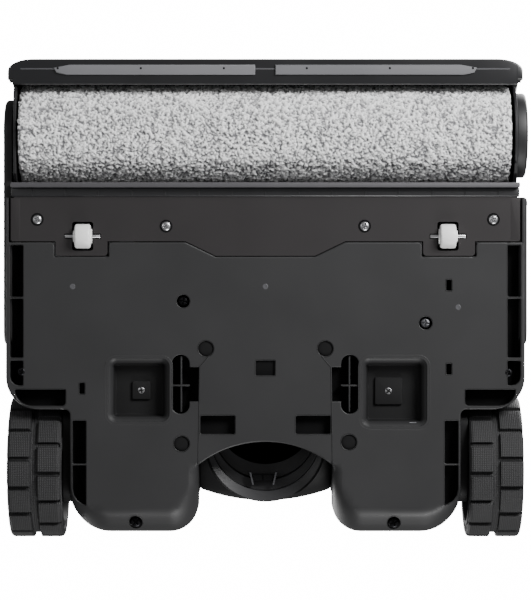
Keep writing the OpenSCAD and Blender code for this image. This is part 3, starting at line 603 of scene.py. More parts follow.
# %% Outline of the base plate
SIDE_SKIRT = 3.1
PLATE_X = DECK_HIGH.x + SIDE_SKIRT
GAP = 0.3
LOBE_X = 108.5
LOBE_Y = DECK_HIGH.y
NOTCH_X = 37.5
BLOCK_Y = 60.8
TONGUE_R = 60.5
TONGUE_APEX = NECK.y - 1.4
TAB_DEPTH = 8.0
TAB_X, TAB_HALF = 102.0, 14.6
BAY_WIDE, BAY_NARROW = 44.3, 27.7


def mirrored_loop(right):
    """Closes a right-hand half outline, front to back, with its mirror image."""
    return right + [(-x, y) for x, y in right[::-1] if abs(x) > 1e-6]


def tongue_edge():
    centre_y = TONGUE_APEX + TONGUE_R
    reach = math.degrees(math.asin(NOTCH_X / TONGUE_R))
    return arc(0, centre_y, TONGUE_R, 270 + reach, 270, 14)


joint_y = PARTING + GAP
tab_half = TAB_HALF + GAP
front = [(0, joint_y + TAB_DEPTH), (BAY_NARROW, joint_y + TAB_DEPTH), (BAY_WIDE, joint_y),
         (TAB_X - tab_half, joint_y), (TAB_X - tab_half, joint_y + TAB_DEPTH),
         (TAB_X + tab_half, joint_y + TAB_DEPTH), (TAB_X + tab_half, joint_y), (PLATE_X, joint_y)]
side = arc(PLATE_X - 18, BLOCK_Y - 18, 18, 0, 90, 12) + arc(LOBE_X + 3, BLOCK_Y + 3, 3, 270, 180, 4)
rear = arc(LOBE_X - 22, LOBE_Y - 22, 22, 0, 90, 14) + arc(NOTCH_X + 16, LOBE_Y - 16, 16, 90, 180, 12)
deck_outline = mirrored_loop(front + side + rear + tongue_edge())
print("outline points:", len(deck_outline))

# %% [markdown]
# ## Openings in the base plate
# Screw wells, slots, plugs and weight-saving pockets open into the plate. Each is a loop, and each
# gets a short rounded lip, a wall and a floor. The two square wells are drawn with sloping walls,
# as a deep moulded well has to be to leave its mould.

# %% Loops of the openings
LIP = 0.5
DRAFT = 3.9
WELL_DEPTH = 10.0
SLOT_Y = 79.3
y_wells = PARTING + 65.2
left_well = soft_rect(-87.0, y_wells, -53.6, y_wells + 34.6, 4.2)
right_well = soft_rect(53.8, y_wells, 89.4, y_wells + 37.2, 4.2)


def disc_loop(x, y, r, steps=28):
    turn = [2 * math.pi * k / steps for k in range(steps)]
    return [(x + r * math.cos(a), y + r * math.sin(a)) for a in turn]


def keyhole_slot(side_of):
    """Half round, half square slot beside each well; anticlockwise on both sides."""
    y_mid = PARTING + SLOT_Y
    half, r, flat_x, inner_x = 11.5, 4.9, 42.1, 36.8
    far, near = y_mid + half - 2.0, y_mid - half + 2.0
    right = arc(47, y_mid + half, r, 0, 180, 10)
    right += [(flat_x, far), (inner_x, far), (inner_x, near), (flat_x, near)]
    right += arc(47, y_mid - half, r, 180, 360, 10)
    return right if side_of > 0 else [(-x, y) for x, y in right[::-1]]


PIN_SLOTS_AT = ((-101.8, 49.1), (101.9, 38.3), (101.9, -8.2))
dock_slots = [soft_rect(x - 9.6, 64.2, x + 9.6, 74.4, 0.8, 3) for x in (-26.5, 26.5)]
pin_slots = [soft_rect(x - 1.45, y - 3, x + 1.45, y + 3, 0.3, 2) for x, y in PIN_SLOTS_AT]
recess = soft_rect(-5.3, PARTING + 66.1, 5.3, PARTING + 74.4, 0.4, 2)
plug_loops = [disc_loop(*plan_middle(low, high), (high[0] - low[0]) / 2 + 0.1)
              for low, high in solids("screw_plugs")]
deck_screw_loops, lobe_screw_loops = [], []
for low, high in solids("base_screws"):
    x, y = plan_middle(low, high)
    if high[0] - low[0] > 5.8:
        (lobe_screw_loops if y > 100 else deck_screw_loops).append(disc_loop(x, y, 3.6))


def edge_pockets():
    """Open pockets between ribs along the side edges and the lobes' outer edges."""
    loops = []
    spans = ((2.0, 30.7), (31.8, 64.5), (66.2, 80.0))
    for start, end in spans:
        corner = 5.0 if end > 70 else 0.7
        loops.append(soft_rect(PLATE_X - 9.6, PARTING + start, PLATE_X - 2.4, PARTING + end,
                               [0.7, 0.7, corner, 0.7], 3))
    loops.append(soft_rect(LOBE_X + 2.4, PARTING + 82.2, PLATE_X - 5.0, BLOCK_Y - 2.0, [0.7, 0.7, 9, 2], 5))
    for start, end in ((99.5, 123.4), (124.2, 146.5)):
        corner = 9 if end > 140 else 0.7
        loops.append(soft_rect(LOBE_X - 8.9, PARTING + start, LOBE_X - 1.4, PARTING + end,
                               [0.7, 0.7, corner, 0.7], 4))
    return loops + [[(-x, y) for x, y in loop[::-1]] for loop in loops]


pockets = edge_pockets()
print("openings:", 2 + 2 + len(dock_slots + pin_slots + plug_loops + pockets) + 1)

# %% [markdown]
# ## Base plate skin
# The skin's height is flat except near the edge. The rear of the lobes lifts by 18 mm, the channel's
# sides by 6 mm, and the rest of the rim by a mould radius. The soft rims start at a faint crease, as
# the real ones do, and not as a plain quarter round.

# %% Heights of the base plate
REAR_LIFT, CHANNEL_LIFT, RIM = SEAM - UNDER, 6.0, 0.9


def rim_radius(spots):
    x, y = np.abs(spots[:, 0]), spots[:, 1]
    channel = smooth(90, 95, y) * (1 - smooth(60, 84, x))
    aside = RIM + (CHANNEL_LIFT - RIM) * channel
    back = smooth(102, 125, y)
    return aside + (REAR_LIFT - aside) * back


CREASE = 0.85
SLOPE_SHARE = 0.25


def soft_rim(away, r):
    """A soft rim: a faint crease, a gentle slope and then a quarter round, r high in all."""
    reach = np.clip(1 - away / (CREASE * r), 0, 1)
    return r * (SLOPE_SHARE * reach + (1 - SLOPE_SHARE) * (1 - np.sqrt(1 - reach ** 2)))


def deck_height(spots, outline):
    away, r = distance_to(outline, spots), rim_radius(spots)
    return UNDER + np.where(r > 2.5, soft_rim(away, r), fillet(away, r))


# %% Base plate skin
def near_edge(p, away):
    """Wide rows of samples are needed only where the rim is soft, behind the wells."""
    return away < 2.0 or p[1] > 84


all_holes = [left_well, right_well, keyhole_slot(-1), keyhole_slot(1), recess]
all_holes += dock_slots + pin_slots + plug_loops + deck_screw_loops + lobe_screw_loops + pockets
lips = [inset(hole, -LIP) for hole in all_holes]
EDGE_ROWS = (0.12, 0.35, 0.85, 1.1, 1.6, 2.7, 4.2, 5.0, 5.3, 6.8, 9.0, 11.8, 15.1, 15.6, 18.6)
beside_lips = [p for lip in lips for p in inset(resample(lip, 2.0), -0.4)]
deck_points, deck_faces, deck_loops = skin(deck_outline, lips, EDGE_ROWS, deck_height, 2.0,
                                           extra=beside_lips, keep_row=near_edge)
print("skin triangles:", len(deck_faces))

# %% [markdown]
# ## Walls, lips and floors
# From the skin's edge the outer wall rises to the seam. The tongue's edge is only as thick as the
# plate, so that the neck can tilt over it. Each opening gets its rounded lip, wall and floor. The lip
# has the deck's colour, and the wall and floor are near-black: painted shade.

# %% Walls, lips and floors of the base plate
ARCH_R = WHEEL_R + 2.6
TONGUE_THICK = 2.4
DOCK_DEPTH = 4.6


def opening(hole, depth, lip=LIP, draft=0.0):
    """The rounded lip of one opening, and its wall and floor, as two shapes."""
    dense = resample(hole, 2.0)
    base = deck_height(np.array(inset(dense, -lip)), deck_loops[0])
    rings = []
    for k in range(5):
        a = math.pi / 2 * k / 4
        out, rise = lip * (1 - math.sin(a)), lip * (1 - math.cos(a))
        rings.append([(x, y, b + rise) for (x, y), b in zip(inset(dense, -out), base)])
    level = max(base) + lip
    if draft:
        for share, drop in ((0.35, 0.12), (0.62, 0.45), (0.8, 0.85), (0.9, 0.96), (1.0, 1.0)):
            rings.append([(x, y, level + (depth - lip) * drop) for x, y in inset(dense, draft * share)])
    else:
        rings.append([(x, y, UNDER + depth) for x, y in dense])
    bend = 7 if draft else 5
    return loft(rings[:bend], False, False), loft(rings[bend - 1:], False, True)


def clear_of_wheel(x, y, z):
    """Moves a wall point forward out of the wheel's arch."""
    up = z - WHEEL.z
    if abs(x) < LOBE_X + 0.5 or abs(up) > ARCH_R:
        return x, y, z
    return x, min(y, WHEEL.y - math.sqrt(ARCH_R ** 2 - up ** 2)), z


def outer_wall(loop, feet, tops, levels=8):
    """A wall from one height to another all along a loop, hollowed where the wheels turn."""
    rings = []
    for k in range(levels + 1):
        share = k / levels
        rings.append([clear_of_wheel(x, y, f + (max(f, t) - f) * share)
                      for (x, y), f, t in zip(loop, feet, tops)])
    return loft(rings, False, False)


deck_feet = deck_height(np.array(deck_loops[0]), deck_loops[0])


def on_tongue(x, y):
    return abs(x) < NOTCH_X - 0.3 and 70 < y < 95


wall_tops = [UNDER + TONGUE_THICK if on_tongue(x, y) else SEAM for x, y in deck_loops[0]]
deck_parts = [(deck_points, deck_faces), outer_wall(deck_loops[0], deck_feet, wall_tops)]
wells = [opening(well, WELL_DEPTH, 1.0, DRAFT) for well in (left_well, right_well)]
hollows = [opening(keyhole_slot(s), 9.0) for s in (-1, 1)]
hollows += [opening(recess, 1.3, 0.3)]
hollows += [opening(hole, DOCK_DEPTH, 0.3) for hole in dock_slots]
hollows += [opening(hole, 12.0, 0.3) for hole in pin_slots]
hollows += [opening(hole, 2.2, 0.3) for hole in plug_loops]
hollows += [opening(hole, 7.0, 0.4) for hole in deck_screw_loops + lobe_screw_loops]
hollows += [opening(hole, 8.0, 0.35) for hole in pockets]
deck_parts += [shape for shape, _ in wells + hollows]
make_piece("base_plate_skin", *joined(*deck_parts), DECK_ABS, "root", ["base_plate"], angle=38)
make_piece("base_plate_wells_painted_shade", *joined(*[deep for _, deep in wells]), WELL_SHADE_ABS, "root")
make_piece("base_plate_hollows_painted_shade", *joined(*[deep for _, deep in hollows]), HOLLOW_SHADE_PP, "root")

# %% [markdown]
# ## Panel lines
# A narrow line runs along each side of the middle panel, where the lobes' inserts met in the mould,
# and opens outwards in front of the wells. Real witness lines stand a few hundredths proud. A ridge
# 0.8 mm wide is drawn here, so that it still catches the light when the whole head is seen. A finer
# one frames each well. Three round marks show where pins pushed the moulding out of its mould.

# %% Panel lines on the base plate
def ridge(path, width, foot, crest):
    """A low ridge of triangular section along a path on the underside."""
    spots = np.array(path, dtype=float)
    along = np.gradient(spots, axis=0)
    along /= np.linalg.norm(along, axis=1, keepdims=True)
    across = np.stack([-along[:, 1], along[:, 0]], axis=1) * width / 2
    rings = []
    for (x, y), (ax, ay) in zip(spots, across):
        rings.append([(x + ax, y + ay, foot), (x, y, crest), (x - ax, y - ay, foot)])
    return loft(rings)


panel_line = ((31.2, PARTING + 63.6), (36.4, PARTING + 69.8), (37.3, TONGUE_APEX + 12.5))
ridges = []
for way in (-1, 1):
    path = [(way * x, y) for x, y in panel_line]
    ridges.append(ridge(path, 0.8, UNDER + 0.05, UNDER - 0.35))
for well in (left_well, right_well):
    frame_loop = inset(well, -2.0)
    ridges.append(ridge(frame_loop + frame_loop[:2], 0.6, UNDER + 0.05, UNDER - 0.16))
make_piece("mould_panel_lines", *joined(*ridges), DECK_ABS, "root", angle=80)
mark_profile = [(UNDER + 0.05, 1.6), (UNDER - 0.1, 1.4), (UNDER - 0.12, 1.2), (UNDER - 0.06, 0.9),
                (UNDER - 0.06, 0.02)]
marks = [turned_z(mark_profile, x, PARTING + y, 32, (False, False))
         for x, y in ((-107.0, 25.0), (0.0, 25.0), (107.0, 36.5))]
make_piece("ejector_pin_marks", *joined(*marks), BUTTON_ABS, "root")

# %% [markdown]
# ## Ribs in the slots and pockets
# Two thin ribs cross in each key-shaped slot, and each well has a square seat for its screw. They
# are mouldings of the base plate, drawn as narrow walls and blocks with a rounded rim. They aren't
# joined to the plate's own mesh, because the places where they meet it are out of sight.

# %% Ribs and bosses
def rib(x0, y0, x1, y1, low, high, r=0.25):
    return slab(soft_rect(min(x0, x1), y0, max(x0, x1), y1, 0.25, 2), low, high, r, 0.1)


RIB_X, RIB_HALF, RIB_TOP = 46.7, 0.45, UNDER + 9
y_slot = PARTING + SLOT_Y
ribs, seats_deep = [], []
for way in (-1, 1):
    x_rib = RIB_X * way
    ribs.append(rib(x_rib - RIB_HALF, y_slot - 15.5, x_rib + RIB_HALF, y_slot + 15.5, UNDER + 1.2, RIB_TOP))
    ribs.append(rib(42 * way, y_slot + 0.2, 51.5 * way, y_slot + 1.1, UNDER + 1.0, RIB_TOP))
well_spots = [plan_middle(low, high) for low, high in solids("base_screws") if low[2] > UNDER + 7]
for x, y in well_spots:
    half = 7.7 if x > 0 else 5.2
    seats_deep.append(slab(soft_rect(x - half, y - half, x + half, y + half, 1.0), UNDER + WELL_DEPTH - 1.4,
                           UNDER + WELL_DEPTH + 1, 0.6, 0.1))
make_piece("base_plate_ribs", *joined(*ribs), DECK_ABS, "root")
# The seats on the wells' floors take the same darkened plastic: painted shade.
make_piece("well_screw_seats", *joined(*seats_deep), WELL_SHADE_ABS, "root")

# %% [markdown]
# ## Hollow behind the slots
# Through the key-shaped slots and the narrow pin slots one looks into the closed, unlit inside of the
# head. Dark sheets a few millimetres up stand for what little light comes back from there.

# %% Shade sheet inside the head
key_shade = [slab(soft_rect(*span, 0.5), UNDER + 8.6, UNDER + 9.4, 0.1, 0.1)
             for span in ((-53, 30, -36, 64), (36, 30, 53, 64))]
pin_shade = [slab(soft_rect(x - 2.4, y - 4, x + 2.4, y + 4, 0.5), UNDER + 11.6, UNDER + 12.4, 0.1, 0.1)
             for x, y in PIN_SLOTS_AT]
make_piece("hollow_shade", *joined(*key_shade, *pin_shade), HOLLOW_SHADE_PP, "root")

# %% [markdown]
# ## Screws
# Pan-head screws with a cross recess hold the plates. The head is a disc of points in rings whose
# height is a dome, sunk where the cross is, so the recess has soft sloping walls as a punched one has.
# A cross cut with a boolean would have hard, upright walls and look drilled.
# The retaining plate's screws and the two in the wells are bright zinc, and the others are blackened.

# %% Screws
def screw_head(x, y, r, base, dome, turn=0.0, rings=16, steps=96):
    """A pan head facing down, its rim at height base and its crown dome mm lower."""
    points = [(x, y, base - dome + 0.55 * dome)]
    levels = []
    for k in range(1, rings + 1):
        share = k / rings
        ring = []
        for i in range(steps):
            a = 2 * math.pi * i / steps
            u, v = r * share * math.cos(a), r * share * math.sin(a)
            cu, cv = u * math.cos(turn) + v * math.sin(turn), -u * math.sin(turn) + v * math.cos(turn)
            arm = min(abs(cu), abs(cv))
            reach = max(abs(cu), abs(cv))
            sunk = float(smooth(0.17 * r, 0.1 * r, arm) * smooth(0.66 * r, 0.55 * r, reach))
            crown = dome * (1 - share ** 4)
            ring.append((x + u, y + v, base - crown + sunk * r * 0.42))
        levels.append(ring)
    flat = [p for ring in levels for p in ring]
    points += flat
    faces = [[0, 1 + i, 1 + (i + 1) % steps] for i in range(steps)]
    for k in range(rings - 1):
        for i in range(steps):
            j = (i + 1) % steps
            inner, outer = 1 + k * steps, 1 + (k + 1) * steps
            faces.append([inner + i, outer + i, outer + j, inner + j])
    wall = loft([levels[-1], [(*point[:2], base + 1.2) for point in levels[-1]]], False, True)
    return joined((points, faces), wall)


def head_shade_ring(x, y, r):
    """A thin near-black ring just below the plate round a head: painted shade in the gap round it."""
    return turned_z([(UNDER + 0.3, r + 1.0), (UNDER - 0.1, r + 0.95), (UNDER - 0.14, r + 0.7),
                     (UNDER - 0.1, r - 0.4), (UNDER + 0.3, r - 0.5)], x, y, 48, (False, False))


PLATE_HEAD_R, HEAD_DOME = 2.6, 0.9
# The rings gathered in seats are near-black: painted shade round each head.
plate_heads, seats = [], []
for k, (low, high) in enumerate(solids("plate_screws")):
    x, y = plan_middle(low, high)
    plate_heads.append(screw_head(x, y, PLATE_HEAD_R, UNDER - 0.2, HEAD_DOME, 0.5 + 0.7 * k))
    seats.append(head_shade_ring(x, y, PLATE_HEAD_R))
make_piece("zinc_plate_screws", *joined(*plate_heads), ZINC, "root", ["plate_screws"], angle=50)
make_piece("plate_screw_shade_rings", *joined(*seats), HOLLOW_SHADE_PP, "root")
black_heads, well_heads, pin_heads = [], [], []
for k, (low, high) in enumerate(solids("base_screws")):
    x, y = plan_middle(low, high)
    head = screw_head(x, y, (high[0] - low[0]) / 2 - 0.1, low[2] + 0.8, 0.8, 0.3 + 0.5 * k)
    is_pin = 40 < x < 120 and y < 40
    (well_heads if low[2] > UNDER + 7 else pin_heads if is_pin else black_heads).append(head)
make_piece("black_deck_screws", *joined(*black_heads), BLACK_ZINC, "root", ["base_screws"], angle=50)
make_piece("zinc_well_screws", *joined(*well_heads), ZINC, "root", angle=50)
make_piece("drawn_steel_pin", *joined(*pin_heads), CAN_STEEL, "root", angle=50)

# %% [markdown]
# ## Screw plugs
# Four deeper screw holes are closed with soft rubber plugs, slightly domed and set into the plate.
# A squashed ball would give the dome alone. A turned profile also gives the tight radius at its edge.

# %% Screw plugs
plugs = []
for low, high in solids("screw_plugs"):
    r = (high[0] - low[0]) / 2
    plug_profile = [(UNDER + 0.62, 0.01), (UNDER + 0.66, r * 0.5), (UNDER + 0.8, r - 0.5),
                    (UNDER + 1.1, r), (UNDER + 2.9, r)]
    plugs.append(turned_z(plug_profile, *plan_middle(low, high), 40))
make_piece("soft_screw_plugs", *joined(*plugs), PLUG_RUBBER, "root", ["screw_plugs"])

# %% [markdown]
# ## Roller pile
# The fleece is the brightest thing on the underside. Its pile is a fine rolled sheet of points, half
# a millimetre apart, pushed in and out by three layers of seeded noise: rolls of yarn, tufts, and
# single strands. Each layer is random heights blurred on the rolled sheet itself, so it closes round
# the roller without a seam. The tufts also lean sideways a little, so they shade one another.
# Hair strands would be truer close up, but a sheet is a plain mesh, light enough to be kept whole.

# %% Heights of the pile
PILE_ROWS, PILE_STEPS = 540, 352
PILE_DEPTH, TIPS_PROUD = 1.6, 0.35
LEAN = 0.7
SHOULDER, SHOULDER_DROP = 2.2, 1.6
pile_box = box_mm("roller_sleeve")
PILE_X0, PILE_LENGTH = pile_box[0].x, pile_box[1].x - pile_box[0].x
chance = np.random.default_rng(7)


def blurred(cell_mm, row_mm, step_mm):
    """Random field blurred to a set size, wrapping round the roller, scaled to 0..1."""
    field = chance.standard_normal((PILE_ROWS, PILE_STEPS))
    rows = np.fft.fftfreq(PILE_ROWS, row_mm)[:, None]
    steps = np.fft.fftfreq(PILE_STEPS, step_mm)[None, :]
    keep = np.exp(-((rows ** 2 + steps ** 2) * (math.pi * cell_mm) ** 2) / 2)
    field = np.fft.ifft2(np.fft.fft2(field) * keep).real
    spread = field.std()
    return np.clip(field / spread / 4 + 0.5, 0, 1)


row_mm = PILE_LENGTH / PILE_ROWS
step_mm = 2 * math.pi * ROLLER_R / PILE_STEPS
rolls = blurred(2.4, row_mm, step_mm)
tufts = blurred(0.8, row_mm, step_mm)
strands = blurred(0.4, row_mm, step_mm)
pile = np.clip(0.12 * rolls + 0.5 * tufts + 0.48 * strands - 0.05, 0, 1)
pile = smooth(0.15, 0.85, pile)
lean_x = (blurred(1.1, row_mm, step_mm) - 0.5) * LEAN
lean_a = (blurred(1.1, row_mm, step_mm) - 0.5) * LEAN

# %% Roller pile
share = np.arange(PILE_ROWS) / (PILE_ROWS - 1)
x_rows = PILE_X0 + 0.4 + share * (PILE_LENGTH - 0.8)
from_end = np.minimum(share, 1 - share) * PILE_LENGTH
round_off = SHOULDER_DROP * (1 - np.clip(from_end / SHOULDER, 0, 1)) ** 2
r_pile = ROLLER_R + TIPS_PROUD - PILE_DEPTH * (1 - pile) - round_off[:, None]
a_pile = (np.arange(PILE_STEPS) / PILE_STEPS * 2 * math.pi)[None, :] + lean_a * pile / ROLLER_R
x_pile = x_rows[:, None] + lean_x * pile
spots = np.stack([x_pile, ROLLER.y + r_pile * np.cos(a_pile), ROLLER.z + r_pile * np.sin(a_pile)], axis=2)
grid = np.arange(PILE_ROWS * PILE_STEPS).reshape(PILE_ROWS, PILE_STEPS)
right = np.roll(grid, -1, axis=1)
quads = np.stack([grid[:-1], right[:-1], right[1:], grid[1:]], axis=2).reshape(-1, 4)
pile_mesh = bpy.data.meshes.new("roller_pile")
pile_mesh.from_pydata((spots.reshape(-1, 3) * MM).tolist(), [], quads.tolist())
stored = pile_mesh.attributes.new("pile_height", "FLOAT", "POINT")
stored.data.foreach_set("value", pile.reshape(-1).astype(np.float32))
pile_mesh.shade_smooth()
pile_mesh.materials.append(FLEECE)
pile_piece = bpy.data.objects.new("roller_pile", pile_mesh)
bpy.context.scene.collection.objects.link(pile_piece)
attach(pile_piece, "roller")
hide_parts("roller_sleeve")
print("pile faces:", len(pile_mesh.polygons), "cell", round(row_mm, 2), "x", round(step_mm, 2), "mm")

# %% [markdown]
# ## Tyres
# The tyre has two rows of blocks, staggered by half a block, with a groove between the rows and
# narrow grooves across. It is one rolled sheet of points: its radius drops by the tread depth where a
# groove runs, with a soft slope so the rubber's edges catch light. The shoulders are rounded into the
# side walls, and the sheet carries unrolled coordinates for the fine grid in its finish. Booleans
# could cut the same grooves, but they would leave hard edges where rubber has none.

# %% Tyres
BLOCKS = 15
TREAD = 2.4
GROOVE = 2.4
MIDDLE_GROOVE = 3.9
GROOVE_SLOPE = 0.35
SHOULDER_R = 2.2
FIRST_BLOCK = 0.108
TYRE_STEPS = 480


def tyre_sheet(node):
    low, high = box_mm(node)
    axis = middle(node)
    width = high.x - low.x
    outward = 1 if axis.x > 0 else -1
    across = np.concatenate([[0, 0.15, 0.5, 1.1, 1.9], np.linspace(2.4, width - 2.4, 52),
                             [width - 1.9, width - 1.1, width - 0.5, width - 0.15, width]])
    edge = np.minimum(across, width - across)
    turn = np.arange(TYRE_STEPS) / TYRE_STEPS
    from_outer = width - across if outward > 0 else across
    outer_row = from_outer < width / 2 - 0.2
    phase = np.where(outer_row, FIRST_BLOCK, FIRST_BLOCK + 0.5 / BLOCKS)[:, None]
    cell = ((turn[None, :] - phase) * BLOCKS) % 1.0
    arc_mm = np.minimum(cell, 1 - cell) * 2 * math.pi * WHEEL_R / BLOCKS
    from_middle = np.abs(across - width / 2)
    block = smooth(GROOVE / 2 - GROOVE_SLOPE, GROOVE / 2 + GROOVE_SLOPE, arc_mm)
    lane = smooth(MIDDLE_GROOVE / 2 - GROOVE_SLOPE, MIDDLE_GROOVE / 2 + GROOVE_SLOPE, from_middle)[:, None]
    sunk = TREAD * (1 - block * lane) * smooth(0.0, 1.2, edge)[:, None]
    shoulder = fillet(edge, SHOULDER_R)
    bare = TREAD * 0.5 * (1 - block) * smooth(1.4, 0.0, edge)[:, None]
    r = WHEEL_R - shoulder[:, None] - np.maximum(sunk, bare)
    angle = -math.pi / 2 + turn[None, :] * 2 * math.pi
    x = np.broadcast_to((low.x + across)[:, None], r.shape)
    tread = np.stack([x, axis.y + r * np.cos(angle), axis.z + r * np.sin(angle)], axis=2)
    bead_r = radius(node.replace("tyre", "rim")) + 0.02
    rings = [[tuple(p) for p in ring] for ring in tread]
    side_wall = [(low.x + 0.9, 1.0), (low.x + 0.4, 2.2), (high.x - 0.4, 2.2), (high.x - 0.9, 1.0),
                 (high.x - 1.0, 0.0), (low.x + 1.0, 0.0)]
    start = 3 * TYRE_STEPS // 4
    circles = [circle_x(x, bead_r + rise, axis, TYRE_STEPS) for x, rise in side_wall]
    turned = [ring[start:] + ring[:start] for ring in circles]
    return loft(turned[:2] + rings + turned[2:] + [turned[0]], False, False)


def make_tyre(node, body):
    piece = make_piece(node + "_tread", *tyre_sheet(node), TYRE, body, [node], angle=50, close=0)
    axis = middle(node)
    unrolled = piece.data.uv_layers.new(name="unrolled")
    co = np.empty(len(piece.data.vertices) * 3)
    piece.data.vertices.foreach_get("co", co)
    co = co.reshape(-1, 3)
    angle = np.arctan2(co[:, 2] - axis.z * MM, co[:, 1] - axis.y * MM)
    loops = np.empty(len(piece.data.loops), dtype=int)
    piece.data.loops.foreach_get("vertex_index", loops)
    uv = np.stack([co[loops, 0], angle[loops] * WHEEL_R * MM], axis=1)
    corners = uv.reshape(-1, 4, 2)
    lap = 2 * math.pi * WHEEL_R * MM
    jump = (corners[:, :, 1].max(axis=1) - corners[:, :, 1].min(axis=1)) > lap / 2
    corners[jump, :, 1] = np.where(corners[jump, :, 1] < 0, corners[jump, :, 1] + lap, corners[jump, :, 1])
    unrolled.data.foreach_set("uv", corners.reshape(-1).astype(np.float32))


for side_name in ("left", "right"):
    make_tyre(side_name + "_tyre", side_name + "_wheel")

# %% [markdown]
# ## Guide rollers
# Two small white acetal rollers carry the front of the head. Each is turned: a barrel with rounded
# shoulders, a stepped hub on one side and a thin thrust washer on the other. A bevelled cylinder has
# the same edge all over, and a profile gives each shoulder and hub its own.

# %% Guide rollers
def guide_roller(node, body, way):
    low, high = box_mm(node)
    axis = middle(node)
    r, half, bore = radius(node), (high.x - low.x) / 2 - 0.8, 1.2
    profile = [(-half - 0.8, bore), (-half - 0.8, 3.0), (-half - 0.5, 3.3), (-half, 3.4), (-half, r - 1.6),
               (-half + 0.2, r - 0.7), (-half + 0.7, r - 0.2), (-half + 1.3, r), (half - 1.3, r),
               (half - 0.7, r - 0.2), (half - 0.2, r - 0.7), (half, r - 1.6), (half, 4.1),
               (half + 0.7, 4.1), (half + 0.75, 3.9), (half + 0.75, bore), (-half - 0.8, bore)]
    placed = [(axis.x + way * x, ring) for x, ring in profile]
    make_piece(node + "_turned", *turned_x(placed, axis, 72, (False, False)), WHITE_POM, body, [node])


guide_roller("left_guide_roller", "left_guide", 1)
guide_roller("right_guide_roller", "right_guide", -1)

# %% [markdown]
# ## Squeegee
# Behind the roller a rubber blade wipes the floor. Its holder is a smoky strip with a rounded edge
# and small cleats that clamp the blade. Both are extrusions, so each is drawn as its section, with a
# radius of its own at every corner, and lofted across the head.

# %% Squeegee
blade_low, blade_high = box_mm("squeegee_blade")
hold_low, hold_high = box_mm("squeegee_holder")


def along_x(outline, x0, x1):
    """An outline of Y and Z drawn out across X, with softened ends."""
    ends = ((x0, 0.5), (x0 + 0.15, 0.15), (x0 + 0.5, 0.0), (x1 - 0.5, 0.0), (x1 - 0.15, 0.15), (x1, 0.5))
    return loft([[(x, a, b) for a, b in inset(outline, away)] for x, away in ends])


blade_outline = soft_rect(blade_low.y, blade_low.z, blade_high.y, blade_high.z, [1.3, 0.4, 0.2, 0.2], 5)
make_piece("squeegee_blade_strip", *along_x(blade_outline, blade_low.x, blade_high.x), BLADE_RUBBER, "root",
           ["squeegee_blade"])
holder = [along_x(soft_rect(blade_high.y, hold_low.z, hold_high.y, hold_low.z + 3.2, [0.8, 1.4, 0.2, 0.2], 4),
                  hold_low.x, hold_high.x),
          along_x(soft_rect(blade_high.y, hold_low.z + 3.2, blade_high.y + 2.4, hold_high.z, 0.2, 2),
                  hold_low.x + 3, hold_high.x - 3)]
CLEATS_A_SIDE, CLEAT_STEP = 7, 18.5
for k in range(-CLEATS_A_SIDE, CLEATS_A_SIDE + 1):
    x = k * CLEAT_STEP
    holder.append(slab(soft_rect(x - 0.5, blade_high.y + 0.6, x + 0.5, hold_high.y - 0.8, 0.3, 2),
                       hold_low.z - 0.25, hold_low.z + 1, 0.2, 0.1))
make_piece("squeegee_holder_strip", *joined(*holder), SMOKE_PP, "root", ["squeegee_holder"])

# %% [markdown]
# ## Roller cover
# The cover is a hood moulded in one: a flat lip under its nose, an upright front, a wide round over
# the roller and a flat top. It is a loft of sections across the head. Each end section is drawn in a
# little, so the corners round off in plan, and the side walls stop at the round hole for the roller.
# Two seats are cut into its top for the latch buttons.

# %% Roller cover
cover_low, cover_high = box_mm("roller_cover")
COVER_ROUND, COVER_WALL, LIP_DEPTH = 46.0, 2.4, 14.5
SIDE_IN = 140.3
CORNER_START, CORNER_SPAN, CORNER_IN = 129.0, 14.0, 6.5
cover_y0, cover_y1, cover_z0, cover_z1 = cover_low.y, cover_high.y, cover_low.z, cover_high.z
round_z = cover_z1 - COVER_ROUND


def corner_inset(x):
    t = max(0.0, (abs(x) - CORNER_START) / CORNER_SPAN)
    return CORNER_IN * (1 - math.sqrt(max(0.0, 1 - min(t, 0.999) ** 2)))


def hood_outer(e):
    r = COVER_ROUND - e
    path = arc(cover_y0 + e + 1.2, cover_z0 + 1.2, 1.2, 270, 180, 3)
    path += [(cover_y0 + e, 12.0), (cover_y0 + e, 18.0)]
    path += arc(cover_y0 + COVER_ROUND, round_z, r, 180, 90, 20)
    return path + [(-75.0, cover_z1 - e), (cover_y1 - 0.6, cover_z1 - e), (cover_y1, cover_z1 - e - 0.6)]


def hood_section(x):
    e = corner_inset(x)
    outer = hood_outer(e)
    path = [(cover_y1, cover_z1 - e - COVER_WALL), (-75.0, cover_z1 - e - COVER_WALL)]
    path += arc(cover_y0 + COVER_ROUND, round_z, COVER_ROUND - e - COVER_WALL, 90, 180, 20)
    path += [(cover_y0 + e + COVER_WALL, 18.0), (cover_y0 + e + COVER_WALL, cover_z0 + 2.6)]
    back = cover_y0 + LIP_DEPTH
    path += [(back - 0.6, cover_z0 + 2.0), (back, cover_z0 + 1.4), (back, cover_z0 + 0.6),
             (back - 0.6, cover_z0)]
    return [(x, a, b) for a, b in outer + path]


ROLLER_HOLE_R = 30.7


def side_section(x):
    e = corner_inset(x)
    path = [(cover_y1, 39.0), (ROLLER.y + ROLLER_HOLE_R, 39.0)]
    path += arc(ROLLER.y, ROLLER.z, ROLLER_HOLE_R, 20, 199, 24)
    path += [(ROLLER.y - 30.0, 17.9), (ROLLER.y - 30.0, cover_z0 + 0.6), (ROLLER.y - 30.6, cover_z0)]
    return [(x, a, b) for a, b in hood_outer(e) + path]


corner_x = [120, 130, 134, 137, 139.2, SIDE_IN]
hood_x = [-x for x in corner_x[::-1]] + list(range(-100, 101, 20)) + corner_x
wall_x = [SIDE_IN - 0.01, 141.2, 142.0, 142.6, 142.9, 143.0]
hood = [loft([hood_section(x) for x in hood_x])]
hood += [loft([side_section(way * x) for x in wall_x]) for way in (-1, 1)]
seat = middle("left_latch_button")


